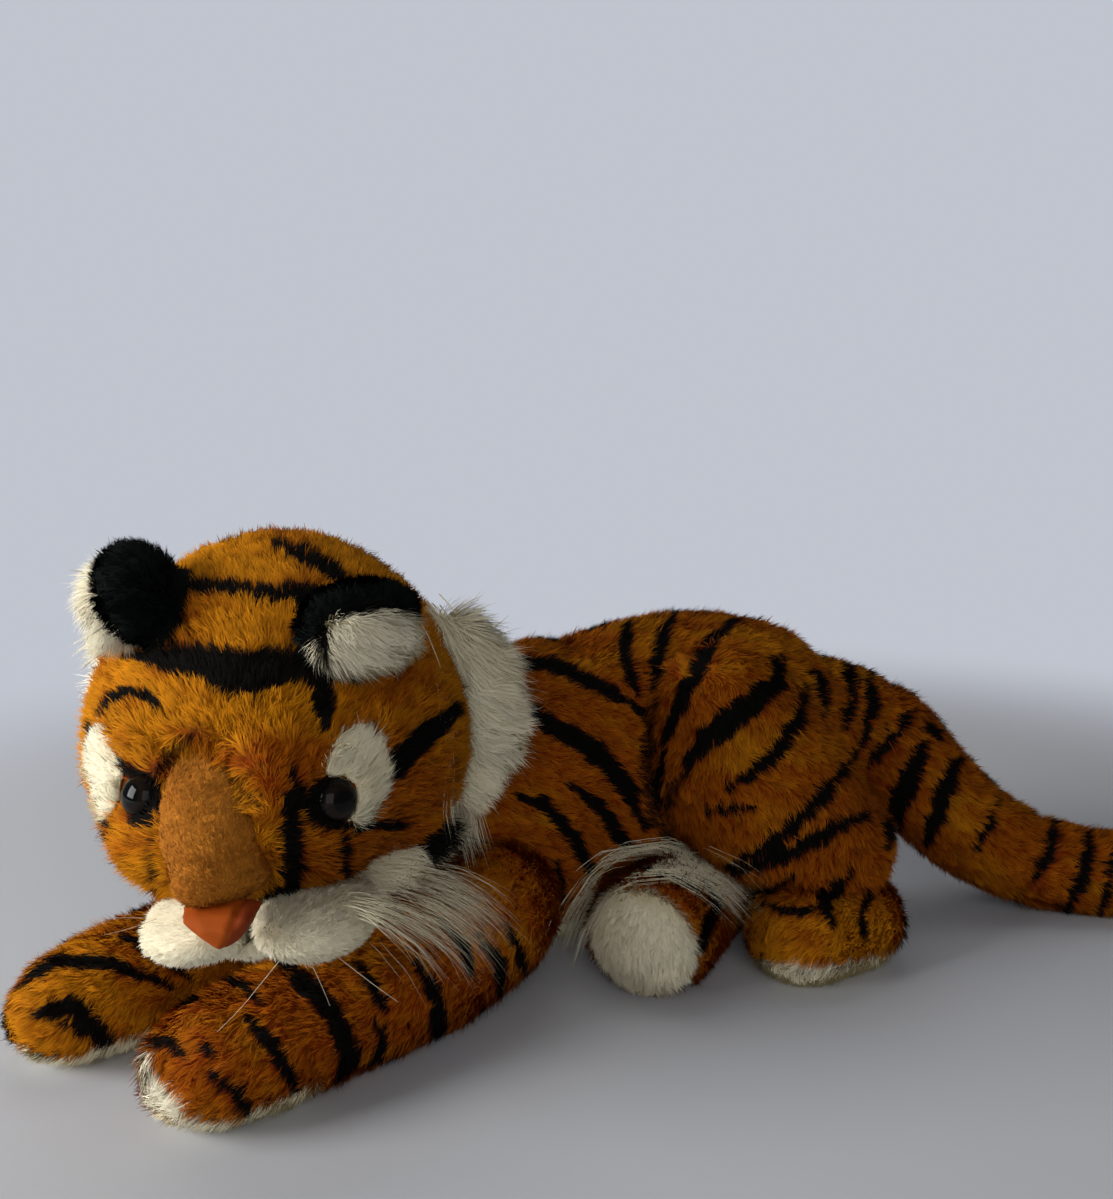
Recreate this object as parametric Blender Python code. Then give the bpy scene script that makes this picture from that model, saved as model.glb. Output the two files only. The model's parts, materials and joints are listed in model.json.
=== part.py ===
"""A plush tiger lying down: stuffed torso, head, limbs and tail as separate sewn forms.

Metres, +Z up, standing on z = 0. The tail points along +X and the face looks along -Y.
Each form is a smooth loft or an ellipsoid in real sizes. A smaller form is cut by the larger
ones that it is sewn to, with a thin clearance, and a limb that moves ends in a round root that
sits in a matching socket of the form that carries it.
"""

import math

import bmesh
import bpy
from mathutils import Matrix, Vector
from mathutils.bvhtree import BVHTree

# Clearances and meshing
GAP = 0.0003
SOCKET_GAP = 0.0004
TUFT_GAP = 0.0006
FLOOR_CUT = 0.0005
CUT_OVERRUN = 0.02
WELD = 0.00001
SLIVER = 0.000002
SHARP_ANGLE = 40.0
# Extra turn in degrees that a socket leaves beyond each limit of its joint
SWING_SPARE = 1.0

# Torso: a bent, swelling body from chest to rump
TORSO_LENGTH = 0.270
TORSO_BEND = 0.072
TORSO_WIDTH = 0.136
TORSO_HEIGHT = 0.178
TORSO_X = -0.105
TORSO_Y = 0.572
CHEST_CAP = 0.020
RUMP_CAP = 0.016
BELLY_PANEL_DEPTH = 0.020
# Along the length, across the bend, underside height, top height, half width
TORSO_shares = (
    (0.000, 0.000, 0.060, 0.560, 0.270),
    (0.120, 0.260, -0.005, 0.780, 0.420),
    (0.300, 0.660, -0.006, 0.890, 0.480),
    (0.470, 0.900, 0.030, 0.978, 0.460),
    (0.620, 1.000, 0.300, 1.005, 0.480),
    (0.760, 1.000, 0.390, 0.995, 0.490),
    (0.880, 0.980, 0.400, 0.910, 0.440),
    (0.960, 0.960, 0.450, 0.790, 0.340),
)

# Neck: a short stuffed link between the chest socket and the head socket
NECK_BASE_RADIUS = 0.043
NECK_TOP_RADIUS = 0.042
NECK_WAIST_RADIUS = 0.039
NECK_BASE_X = -0.066
NECK_BASE_Y = 0.612
NECK_BASE_Z = 0.102
NECK_RUN_X = -0.046
NECK_RUN_Y = -0.056
NECK_RUN_Z = 0.028
HEAD_LIFT_RANGE = (0.0, 10.0)
HEAD_TURN_RANGE = (-14.0, 12.0)

# Head: its own frame has x to the tiger's left, y forward along the face, z up
HEAD_WIDTH = 0.155
HEAD_DEPTH = 0.168
HEAD_HEIGHT = 0.146
HEAD_X = -0.121
HEAD_Y = 0.500
HEAD_Z = 0.150
HEAD_FACING = -5.0
HEAD_PITCH = 6.0
HEAD_ROLL = -4.0
SNOUT_SKEW = 0.010
SKULL_CAP = 0.018
SNOUT_CAP = 0.012
# Along the depth from the centre, centre height, half width, height above, depth below
HEAD_shares = (
    (-0.320, 0.020, 0.300, 0.370, 0.290),
    (-0.180, 0.010, 0.445, 0.540, 0.420),
    (0.000, 0.000, 0.505, 0.610, 0.475),
    (0.170, 0.000, 0.505, 0.555, 0.460),
    (0.300, -0.020, 0.450, 0.430, 0.400),
    (0.400, -0.070, 0.370, 0.280, 0.310),
    (0.500, -0.130, 0.290, 0.190, 0.250),
)

# Face pieces, placed in the head's frame as shares of the head's depth and height
BRIDGE_WIDTH = 0.040
BRIDGE_THICKNESS = 0.024
BRIDGE_CAP = 0.008
BRIDGE_shares = (
    (0.375, 0.215, 0.780, 0.500),
    (0.460, 0.125, 0.900, 0.850),
    (0.545, 0.025, 0.980, 1.000),
    (0.605, -0.070, 1.000, 1.000),
    (0.628, -0.145, 0.940, 0.950),
)
MUZZLE_WIDTH = 0.051
MUZZLE_LENGTH = 0.064
MUZZLE_HEIGHT = 0.022
MUZZLE_LEFT_SPREAD = 0.0245
MUZZLE_RIGHT_SPREAD = 0.0150
MUZZLE_FORWARD_share = 0.500
MUZZLE_DROP_share = 0.320
MUZZLE_SPLAY = 24.0
CLEFT_GAP = 0.0004
NOSE_WIDTH = 0.030
NOSE_HEIGHT = 0.016
NOSE_DEPTH = 0.016
NOSE_FORWARD_share = 0.700
NOSE_DROP_share = 0.230
# Half outline of the nose: across, rise
NOSE_OUTLINE_shares = ((0.550, 1.000), (1.000, 0.700), (0.620, -0.200))
# Its three layers from back to front: depth, width, height
NOSE_LAYER_shares = ((-1.000, 1.000, 1.000), (0.450, 0.820, 0.860), (1.000, 0.350, 0.450))
CHIN_WIDTH = 0.044
CHIN_LENGTH = 0.044
CHIN_HEIGHT = 0.018
CHIN_FORWARD_share = 0.470
CHIN_DROP_share = 0.360

# Eyes: a glossy dome on a ribbed-washer shank, seated in the skull
EYE_RADIUS = 0.0085
EYE_DOME = 0.0058
EYE_SEAT = 0.0010
EYE_SHANK_RADIUS = 0.0025
EYE_SHANK_LENGTH = 0.0140
WASHER_RADIUS = 0.0090
WASHER_THICKNESS = 0.0014
WASHER_SETBACK = 0.0080
# Azimuth and elevation on the skull
EYE_LEFT_SEAT = (28.0, 0.0)
EYE_RIGHT_SEAT = (-19.0, 4.5)

# White patches beside the eyes, lying on the skull
PATCH_WIDTH = 0.026
PATCH_HEIGHT = 0.038
PATCH_DEPTH = 0.030
PATCH_LIFT = 0.0022
PATCH_LEFT_SEAT = (34.0, 4.0)
PATCH_RIGHT_SEAT = (-34.0, 7.0)
PATCH_TILT = 8.0

# Ears: a cupped black back with a white pad inside, on a rolled root
EAR_WIDTH = 0.046
EAR_HEIGHT = 0.034
EAR_THICKNESS = 0.020
EAR_PAD_WIDTH = 0.036
EAR_PAD_HEIGHT = 0.026
EAR_PAD_THICKNESS = 0.016
EAR_PAD_RISE_share = 0.540
EAR_ROOT_RADIUS = 0.0085
EAR_ROOT_LENGTH = 0.024
EAR_ROOT_SIDES = 12
EAR_SINK = 0.002
EAR_FOLD_RANGE = (-10.0, 10.0)
# Azimuth and elevation on the skull, facing of the white pad, tilt of the flap
EAR_LEFT_SEAT = (43.0, 38.0)
EAR_LEFT_FACING = 30.0
EAR_LEFT_TILT = -42.0
EAR_RIGHT_SEAT = (-34.0, 53.0)
EAR_RIGHT_FACING = -100.0
EAR_RIGHT_TILT = -32.0

# Ruff behind each cheek and long tuft under each jaw
RUFF_WIDTH = 0.030
RUFF_THICKNESS = 0.042
RUFF_OUT = 0.005
RUFF_CAP = 0.008
# Azimuth and elevation on the skull, share of the full section
RUFF_shares = (
    (100.0, 26.0, 0.50),
    (106.0, 12.0, 0.92),
    (110.0, -4.0, 1.00),
    (108.0, -16.0, 0.80),
    (104.0, -26.0, 0.45),
)
TUFT_LENGTH = 0.052
TUFT_WIDTH = 0.024
TUFT_THICKNESS = 0.020
TUFT_AZIMUTH = 62.0
TUFT_ELEVATION = -40.0
TUFT_TILT = -8.0

# Forelegs: tubes along the floor from a round shoulder to a rounded paw
FORELEG_LENGTH = 0.140
FORELEG_ROOT_RADIUS = 0.034
FORELEG_WIDTH = 0.060
FORELEG_HEIGHT = 0.053
FORELEG_CAP = 0.040
FORELEG_shares = (
    (0.250, 1.110, 1.120),
    (0.440, 1.120, 1.060),
    (0.700, 1.030, 0.980),
    (0.880, 1.000, 0.960),
    (1.000, 0.960, 0.940),
)
FORELEG_SOLE_DEPTH = 0.013
FORELEG_SOLE_LENGTH = 0.062
SHOULDER_LEFT_X = -0.035
SHOULDER_LEFT_Y = 0.543
SHOULDER_RIGHT_X = -0.123
SHOULDER_RIGHT_Y = 0.601
SHOULDER_Z = 0.044
FORELEG_LEFT_AIM = -135.0
FORELEG_RIGHT_AIM = -130.0
FORELEG_RIGHT_LONGER = 0.001
FORELEG_LEFT_SWING_RANGE = (-4.0, 24.0)
FORELEG_RIGHT_SWING_RANGE = (-24.0, 0.0)

# Left hind leg: a haunch that tapers to the heel, on a flat hip seat, with a foot under it
HAUNCH_WIDTH = 0.098
HAUNCH_BULGE = 0.046
HAUNCH_TOP_X = 0.086
HAUNCH_TOP_Z = 0.146
HAUNCH_RUN_X = 0.070
HAUNCH_DROP = 0.088
HAUNCH_TOP_CAP = 0.026
HAUNCH_HEEL_CAP = 0.022
# Along the run, along the drop, share of the width, share of the bulge
HAUNCH_shares = (
    (0.000, 0.000, 0.760, 0.760),
    (0.243, 0.455, 1.000, 1.000),
    (0.671, 0.818, 0.830, 0.920),
    (1.000, 1.000, 0.640, 0.760),
)
HIP_X = 0.112
HIP_SEAT_Y = 0.590
HIP_Z = 0.106
HIP_LIFT_RANGE = (-10.0, 0.0)
HIND_FOOT_WIDTH = 0.058
HIND_FOOT_HEIGHT = 0.051
HIND_FOOT_CAP = 0.024
HIND_FOOT_HEEL_X = 0.160
HIND_FOOT_HEEL_Y = 0.581
HIND_FOOT_RUN_X = -0.032
HIND_FOOT_RUN_Y = -0.020
HIND_SOLE_DEPTH = 0.013

# Right hind leg: folded under the body, its round sole turned forward
THIGH_WIDTH = 0.116
THIGH_HEIGHT = 0.132
THIGH_BULGE = 0.034
THIGH_X = 0.106
THIGH_Y = 0.688
THIGH_Z = 0.072
SHANK_ROOT_X = 0.086
SHANK_ROOT_Y = 0.621
SHANK_ROOT_RADIUS = 0.030
SHANK_LENGTH = 0.092
SHANK_AIM = -117.0
SHANK_WIDTH = 0.060
SHANK_HEIGHT = 0.058
SHANK_CAP = 0.010
SHANK_shares = (
    (0.300, 0.950, 0.950),
    (0.650, 1.000, 1.000),
    (0.880, 1.040, 1.020),
    (1.000, 0.960, 0.960),
)
SHANK_SOLE_DEPTH = 0.010
SHANK_SWING_RANGE = (-8.0, 0.0)

# Tail: three stuffed lengths that follow one drooping curve
TAIL_X = 0.138
TAIL_Y = 0.655
TAIL_Z = 0.122
TAIL_REACH = 0.292
TAIL_DROP = 0.1005
TAIL_DRIFT = -0.030
TAIL_ROOT_RADIUS = 0.032
TAIL_TIP_RADIUS = 0.021
TAIL_CAP = 0.022
# Along the reach, along the drop, sideways, share of the way from the root to the tip radius
TAIL_shares = (
    (0.000, 0.000, 0.000, 0.00),
    (0.090, 0.060, -0.100, 0.00),
    (0.185, 0.170, -0.120, 0.10),
    (0.265, 0.400, -0.100, 0.25),
    (0.380, 0.720, 0.050, 0.45),
    (0.520, 0.920, 0.250, 0.70),
    (0.680, 0.985, 0.450, 0.90),
    (0.840, 0.995, 0.750, 1.00),
    (1.000, 1.000, 1.000, 1.00),
)
TAIL_BREAKS = (2.0, 5.0)
TAIL_LIFT_RANGE = (0.0, 25.0)
TAIL_SWING_RANGE = (-15.0, 15.0)

# Materials: colour, roughness
COAT = ("coat_orange", (0.55, 0.20, 0.015), 0.95)
COAT_BLACK = ("coat_black", (0.006, 0.008, 0.009), 0.95)
PILE_WHITE = ("pile_white", (0.72, 0.70, 0.62), 0.95)
TAN_NAP = ("tan_nap", (0.36, 0.14, 0.035), 0.90)
NOSE_CLOTH = ("nose_cloth", (0.50, 0.085, 0.02), 0.75)
EYE_GLOSS = ("eye_gloss", (0.010, 0.008, 0.007), 0.08)
WASHER_PLASTIC = ("washer_plastic", (0.60, 0.60, 0.58), 0.45)

UP = Vector((0.0, 0.0, 1.0))


def turn(degrees, axis, about):
    """Matrix that turns by an angle in degrees round an axis through a point."""
    about = Vector(about)
    spin = Matrix.Rotation(math.radians(degrees), 4, Vector(axis))
    return Matrix.Translation(about) @ spin @ Matrix.Translation(-about)


def heading(degrees):
    """Level unit vector at an angle from +X, anticlockwise seen from above."""
    return Vector((math.cos(math.radians(degrees)), math.sin(math.radians(degrees)), 0.0))


def blend(values, place):
    """Value of a smooth curve through evenly numbered values, at a place between them."""
    last = len(values) - 1
    low = min(int(place), last - 1)
    part = place - low
    before = values[max(low - 1, 0)]
    start = values[low]
    end = values[low + 1]
    after = values[min(low + 2, last)]
    out = (end - before) * 0.5
    into = (after - start) * 0.5
    cubed = part**3
    squared = part**2
    hold = start * (2 * cubed - 3 * squared + 1) + end * (3 * squared - 2 * cubed)
    return hold + out * (cubed - 2 * squared + part) + into * (cubed - squared)


def mesh_from_rings(rings, first, last):
    """Closed mesh of triangles from equal rings of points with a pole at each end."""
    shape = bmesh.new()
    loops = [[shape.verts.new(point) for point in ring] for ring in rings]
    count = len(rings[0])
    poles = (shape.verts.new(first), shape.verts.new(last))
    for low, high in zip(loops, loops[1:]):
        for i in range(count):
            j = (i + 1) % count
            shape.faces.new((low[i], low[j], high[j]))
            shape.faces.new((low[i], high[j], high[i]))
    for i in range(count):
        j = (i + 1) % count
        shape.faces.new((poles[0], loops[0][j], loops[0][i]))
        shape.faces.new((poles[1], loops[-1][i], loops[-1][j]))
    bmesh.ops.recalc_face_normals(shape, faces=shape.faces)
    return finished(shape)


def finished(shape):
    """Mesh data from a bmesh, facing outwards."""
    if shape.calc_volume(signed=True) < 0:
        bmesh.ops.reverse_faces(shape, faces=shape.faces)
    mesh = bpy.data.meshes.new("form")
    shape.to_mesh(mesh)
    shape.free()
    return mesh


class Loft:
    """A stuffed form: smooth elliptic sections along a path, with a domed cap at each end."""

    def __init__(self, path, widths, ups, downs, caps, sides=20, rings=10, upright=UP):
        self.path = path
        self.widths = widths
        self.ups = ups
        self.downs = downs
        self.caps = caps
        self.sides = sides
        self.rings = rings
        self.upright = upright

    def section(self, place):
        """Centre, forward, side and up vectors and half sizes at a place along the path."""
        last = len(self.path) - 1
        step = 0.02
        ahead = blend(self.path, min(place + step, last))
        behind = blend(self.path, max(place - step, 0.0))
        forward = (ahead - behind).normalized()
        upright = self.upright
        if isinstance(upright, list):
            upright = blend(upright, place)
        side = forward.cross(upright).normalized()
        up = side.cross(forward)
        sizes = [blend(row, place) for row in (self.widths, self.ups, self.downs)]
        return blend(self.path, place), forward, side, up, sizes

    def ring(self, place, grow, slide=0.0, share=1.0):
        """Points round one section, moved along the path's end and shrunk for a cap."""
        centre, forward, side, up, (width, top, bottom) = self.section(place)
        points = []
        for i in range(self.sides):
            angle = 2 * math.pi * i / self.sides
            rise = (top if math.sin(angle) > 0 else bottom) + grow
            across = side * (width + grow) * math.cos(angle)
            points.append(centre + forward * slide + (across + up * rise * math.sin(angle)) * share)
        return points

    def mesh(self, grow=0.0, start=0.0, end=None, dome=3):
        """The closed form, grown by a clearance, between two places along its path."""
        end = len(self.path) - 1 if end is None else end
        rings = []
        for i in range(dome - 1, 0, -1):
            angle = math.pi / 2 * i / dome
            slide = -(self.caps[0] + grow) * math.sin(angle)
            rings.append(self.ring(start, grow, slide, math.cos(angle)))
        for i in range(self.rings + 1):
            rings.append(self.ring(start + (end - start) * i / self.rings, grow))
        for i in range(1, dome):
            angle = math.pi / 2 * i / dome
            slide = (self.caps[1] + grow) * math.sin(angle)
            rings.append(self.ring(end, grow, slide, math.cos(angle)))
        first = self.section(start)
        last = self.section(end)
        low = first[0] - first[1] * (self.caps[0] + grow)
        high = last[0] + last[1] * (self.caps[1] + grow)
        return mesh_from_rings(rings, low, high)


def ellipsoid(centre, radii, grow=0.0, basis=None, sides=20, rings=10, fit=1.0):
    """Closed ellipsoid. A fit over 1 makes the flat facets clear the true surface."""
    basis = basis or Matrix.Identity(3)
    sizes = [(radius + grow) * fit for radius in radii]
    loops = []
    for i in range(1, rings):
        lean = math.pi * i / rings
        loop = []
        for j in range(sides):
            angle = 2 * math.pi * j / sides
            unit = (
                math.sin(lean) * math.cos(angle) * sizes[0],
                math.sin(lean) * math.sin(angle) * sizes[1],
                -math.cos(lean) * sizes[2],
            )
            loop.append(centre + basis @ Vector(unit))
        loops.append(loop)
    tip = basis @ Vector((0.0, 0.0, sizes[2]))
    return mesh_from_rings(loops, centre - tip, centre + tip)


def socket(centre, radius, sides=20, rings=10):
    """Ball cutter whose facets stay clear of a ball of this radius."""
    fit = 1 / (math.cos(math.pi / sides) * math.cos(math.pi / (2 * rings)))
    sizes = (radius, radius, radius)
    return ellipsoid(centre, sizes, SOCKET_GAP, None, sides, rings, fit)


def hull(points):
    """Closed convex mesh round a set of points."""
    shape = bmesh.new()
    for point in points:
        shape.verts.new(point)
    made = bmesh.ops.convex_hull(shape, input=shape.verts)
    spare = [item for item in made["geom_interior"] if isinstance(item, bmesh.types.BMVert)]
    bmesh.ops.delete(shape, geom=spare, context="VERTS")
    bmesh.ops.recalc_face_normals(shape, faces=shape.faces)
    return finished(shape)


def passage(pivot, aim, radius, reach, poses, sides=16, to_floor=False):
    """Convex cutter round a tube that leaves a pivot, in every pose of its joint."""
    wide = (radius + SOCKET_GAP) / math.cos(math.pi / sides)
    aim = aim.normalized()
    side = aim.cross(UP).normalized()
    up = side.cross(aim)
    points = []
    for pose in poses:
        for along in (0.0, reach):
            for i in range(sides):
                angle = 2 * math.pi * i / sides
                spoke = side * math.cos(angle) + up * math.sin(angle)
                points.append(pose @ (pivot + aim * along + spoke * wide))
    if to_floor:
        points += [Vector((point.x, point.y, -CUT_OVERRUN)) for point in points]
    return hull(points)


def box(low, high, basis=None):
    """Closed box between two corners, in a frame of its own where a basis is given."""
    corners = []
    for x in (low[0], high[0]):
        for y in (low[1], high[1]):
            for z in (low[2], high[2]):
                corner = Vector((x, y, z))
                corners.append(basis @ corner if basis else corner)
    return hull(corners)


def turned(profile, sides=16):
    """Closed mesh from a profile of (radius, height) pairs turned round Z, bottom pole first."""
    rings = []
    for radius, height in profile[1:-1]:
        spokes = [heading(360 * i / sides) * radius for i in range(sides)]
        rings.append([spoke + UP * height for spoke in spokes])
    return mesh_from_rings(rings, UP * profile[0][1], UP * profile[-1][1])


def moved(mesh, matrix):
    """The same mesh after a change of place."""
    mesh.transform(matrix)
    return mesh


def combined(mesh, cutters, operation="DIFFERENCE"):
    """Mesh after exact Booleans with each cutter in turn, largest piece kept."""
    holder = bpy.data.objects.new("holder", mesh)
    bpy.context.collection.objects.link(holder)
    tools = []
    for cutter in cutters:
        tool = bpy.data.objects.new("tool", cutter)
        bpy.context.collection.objects.link(tool)
        step = holder.modifiers.new("step", "BOOLEAN")
        step.object = tool
        step.operation = operation
        tools.append(tool)
    graph = bpy.context.evaluated_depsgraph_get()
    result = bpy.data.meshes.new_from_object(holder.evaluated_get(graph))
    for thing in tools + [holder]:
        data = thing.data
        bpy.data.objects.remove(thing)
        bpy.data.meshes.remove(data)
    return largest(result)


def largest(mesh):
    """The biggest connected body of a mesh, with points that coincide made one."""
    shape = bmesh.new()
    shape.from_mesh(mesh)
    bpy.data.meshes.remove(mesh)
    bmesh.ops.remove_doubles(shape, verts=shape.verts, dist=WELD)
    bmesh.ops.dissolve_degenerate(shape, edges=shape.edges, dist=SLIVER)
    shape.verts.ensure_lookup_table()
    seen = set()
    groups = []
    for vert in shape.verts:
        if vert in seen:
            continue
        group = []
        stack = [vert]
        seen.add(vert)
        while stack:
            one = stack.pop()
            group.append(one)
            for edge in one.link_edges:
                other = edge.other_vert(one)
                if other not in seen:
                    seen.add(other)
                    stack.append(other)
        groups.append(group)
    groups.sort(key=len)
    spare = [vert for group in groups[:-1] for vert in group]
    bmesh.ops.delete(shape, geom=spare, context="VERTS")
    bmesh.ops.triangulate(shape, faces=shape.faces)
    result = bpy.data.meshes.new("form")
    shape.to_mesh(result)
    shape.free()
    return result


def floor_box():
    """Cutter for all that lies under the floor."""
    wide = TORSO_LENGTH + TAIL_REACH + FORELEG_LENGTH
    return box((-wide, 0.0, -wide), (wide, wide + TORSO_Y, 0.0))


def skull_frame():
    """Matrix from the head's frame to the toy's frame."""
    spin = Matrix.Rotation(math.radians(HEAD_FACING), 4, "Z") @ Matrix.Rotation(math.pi, 4, "Z")
    spin = spin @ Matrix.Rotation(math.radians(-HEAD_PITCH), 4, "X")
    spin = spin @ Matrix.Rotation(math.radians(-HEAD_ROLL), 4, "Y")
    # The tiger's left is +x in the head's frame, so x is mirrored back by the half turn.
    place = Matrix.Translation((HEAD_X, HEAD_Y, HEAD_Z))
    return place @ spin @ Matrix.Scale(-1.0, 4, (1.0, 0.0, 0.0))


class Skull:
    """The head form with ways to find places on its surface."""

    def __init__(self):
        self.frame = skull_frame()
        rows = HEAD_shares
        path = [Vector((0.0, y * HEAD_DEPTH, z * HEAD_HEIGHT)) for y, z, w, t, b in rows]
        widths = [w * HEAD_WIDTH for y, z, w, t, b in rows]
        ups = [t * HEAD_HEIGHT for y, z, w, t, b in rows]
        downs = [b * HEAD_HEIGHT for y, z, w, t, b in rows]
        caps = (SKULL_CAP, SNOUT_CAP)
        self.form = Loft(path, widths, ups, downs, caps, 24, 12)
        local = self.form.mesh()
        shape = bmesh.new()
        shape.from_mesh(local)
        self.tree = BVHTree.FromBMesh(shape)
        shape.free()
        bpy.data.meshes.remove(local)

    def mesh(self, grow=0.0):
        """The head form in the toy's frame."""
        return faced_out(moved(self.form.mesh(grow), self.frame))

    def seat(self, azimuth, elevation):
        """Point and outward normal on the skull in its own frame, by angles from its centre."""
        level = math.cos(math.radians(elevation))
        aim = Vector(
            (
                level * math.sin(math.radians(azimuth)),
                level * math.cos(math.radians(azimuth)),
                math.sin(math.radians(elevation)),
            )
        )
        point, normal, _, _ = self.tree.ray_cast(aim * HEAD_DEPTH, -aim)
        return point, normal


def faced_out(mesh):
    """Mesh with its faces turned outwards, as after a mirroring change of place."""
    shape = bmesh.new()
    shape.from_mesh(mesh)
    if shape.calc_volume(signed=True) < 0:
        bmesh.ops.reverse_faces(shape, faces=shape.faces)
    shape.to_mesh(mesh)
    shape.free()
    return mesh


def framed(normal, upright):
    """Basis whose z is a normal and whose y lies near an upright direction."""
    side = upright.cross(normal).normalized()
    up = normal.cross(side).normalized()
    return Matrix((side, up, normal)).transposed()


def torso_loft():
    """The body form from chest to rump."""
    rows = TORSO_shares
    path = []
    ups = []
    for along, across, low, high, _ in rows:
        middle = (low + high) / 2 * TORSO_HEIGHT
        x = TORSO_X + along * TORSO_LENGTH
        path.append(Vector((x, TORSO_Y + across * TORSO_BEND, middle)))
        ups.append((high - low) / 2 * TORSO_HEIGHT)
    widths = [row[4] * TORSO_WIDTH for row in rows]
    return Loft(path, widths, ups, ups, (CHEST_CAP, RUMP_CAP), 24, 16)


def neck_ends():
    """Centres of the round base and the round top of the neck."""
    base = Vector((NECK_BASE_X, NECK_BASE_Y, NECK_BASE_Z))
    return base, base + Vector((NECK_RUN_X, NECK_RUN_Y, NECK_RUN_Z))


def neck_loft():
    """The neck form between its two round ends."""
    base, top = neck_ends()
    middle = (base + top) / 2
    radii = [NECK_BASE_RADIUS, NECK_WAIST_RADIUS, NECK_TOP_RADIUS]
    caps = (NECK_BASE_RADIUS, NECK_TOP_RADIUS)
    return Loft([base, middle, top], radii, radii, radii, caps, 18, 4)


def foreleg_loft(root, aim, length):
    """One foreleg form, from its round root along the floor to its paw."""
    rows = FORELEG_shares
    path = [root]
    widths = [FORELEG_ROOT_RADIUS]
    heights = [FORELEG_ROOT_RADIUS]
    for along, width, height in rows:
        half = height * FORELEG_HEIGHT / 2
        spot = root + heading(aim) * along * length
        spot.z = half - FLOOR_CUT
        path.append(spot)
        widths.append(width * FORELEG_WIDTH / 2)
        heights.append(half)
    caps = (FORELEG_ROOT_RADIUS, FORELEG_CAP)
    return Loft(path, widths, heights, heights, caps, 18, 8)


def shank_loft():
    """The folded right hind shank and foot, from its round root to its sole."""
    root = Vector((SHANK_ROOT_X, SHANK_ROOT_Y, SHANK_ROOT_RADIUS - FLOOR_CUT))
    path = [root]
    widths = [SHANK_ROOT_RADIUS]
    heights = [SHANK_ROOT_RADIUS]
    for along, width, height in SHANK_shares:
        half = height * SHANK_HEIGHT / 2
        spot = root + heading(SHANK_AIM) * along * SHANK_LENGTH
        spot.z = half - FLOOR_CUT
        path.append(spot)
        widths.append(width * SHANK_WIDTH / 2)
        heights.append(half)
    return Loft(path, widths, heights, heights, (SHANK_ROOT_RADIUS, SHANK_CAP), 18, 6)


def hind_foot_loft():
    """The left hind foot under the haunch."""
    height = HIND_FOOT_HEIGHT / 2
    heel = Vector((HIND_FOOT_HEEL_X, HIND_FOOT_HEEL_Y, height - FLOOR_CUT))
    run = Vector((HIND_FOOT_RUN_X, HIND_FOOT_RUN_Y, 0.0))
    path = [heel, heel + run / 2, heel + run]
    widths = [HIND_FOOT_WIDTH / 2] * len(path)
    heights = [height] * len(path)
    return Loft(path, widths, heights, heights, (HIND_FOOT_CAP, HIND_FOOT_CAP), 18, 3)


def haunch_loft():
    """The haunch from its top to the heel, its middle on the plane of the hip seat."""
    path = []
    widths = []
    bulges = []
    for run, drop, width, bulge in HAUNCH_shares:
        x = HAUNCH_TOP_X + run * HAUNCH_RUN_X
        path.append(Vector((x, HIP_SEAT_Y, HAUNCH_TOP_Z - drop * HAUNCH_DROP)))
        widths.append(width * HAUNCH_WIDTH / 2)
        bulges.append(bulge * HAUNCH_BULGE)
    caps = (HAUNCH_TOP_CAP, HAUNCH_HEEL_CAP)
    return Loft(path, widths, bulges, bulges, caps, 24, 9, Vector((0.0, -1.0, 0.0)))


def haunch_niche(hip, open_side):
    """Convex cutter that clears the haunch in every pose, open to the side where asked."""
    points = []
    for pose in swings(Vector((0.0, 1.0, 0.0)), hip, HIP_LIFT_RANGE):
        for vert in haunch_loft().mesh(SOCKET_GAP).vertices:
            spot = Vector((vert.co.x, min(vert.co.y, HIP_SEAT_Y), vert.co.z))
            points.append(pose @ spot)
    if open_side:
        points += [Vector((point.x, point.y - TORSO_WIDTH, point.z)) for point in points]
    return hull(points)


def tail_loft():
    """The whole tail as one drooping form."""
    root = Vector((TAIL_X, TAIL_Y, TAIL_Z))
    path = []
    radii = []
    for along, drop, side, thin in TAIL_shares:
        sideways = side * TAIL_DRIFT
        path.append(root + Vector((along * TAIL_REACH, sideways, -drop * TAIL_DROP)))
        radii.append(TAIL_ROOT_RADIUS + (TAIL_TIP_RADIUS - TAIL_ROOT_RADIUS) * thin)
    return Loft(path, radii, radii, radii, (TAIL_ROOT_RADIUS, TAIL_CAP), 20, 9)


def eye_profiles():
    """Turned profiles of the eye, its washer and the pocket that both sit in."""
    seat = -EYE_SEAT
    foot = -EYE_SHANK_LENGTH
    eye = [(0.0, foot), (EYE_SHANK_RADIUS, foot), (EYE_SHANK_RADIUS, seat), (EYE_RADIUS, seat)]
    for i in range(5):
        angle = math.pi / 2 * i / 5
        eye.append((EYE_RADIUS * math.cos(angle), EYE_DOME * math.sin(angle)))
    eye.append((0.0, EYE_DOME))
    back = -WASHER_SETBACK - WASHER_THICKNESS
    wide = WASHER_RADIUS + GAP
    bore = EYE_SHANK_RADIUS + GAP
    pocket = [
        (0.0, foot - GAP),
        (bore, foot - GAP),
        (bore, back - GAP),
        (wide, back - GAP),
        (wide, -WASHER_SETBACK + GAP),
        (bore, -WASHER_SETBACK + GAP),
        (bore, seat - GAP),
        (EYE_RADIUS + GAP, seat - GAP),
        (EYE_RADIUS + GAP, CUT_OVERRUN),
        (0.0, CUT_OVERRUN),
    ]
    return eye, pocket


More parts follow.
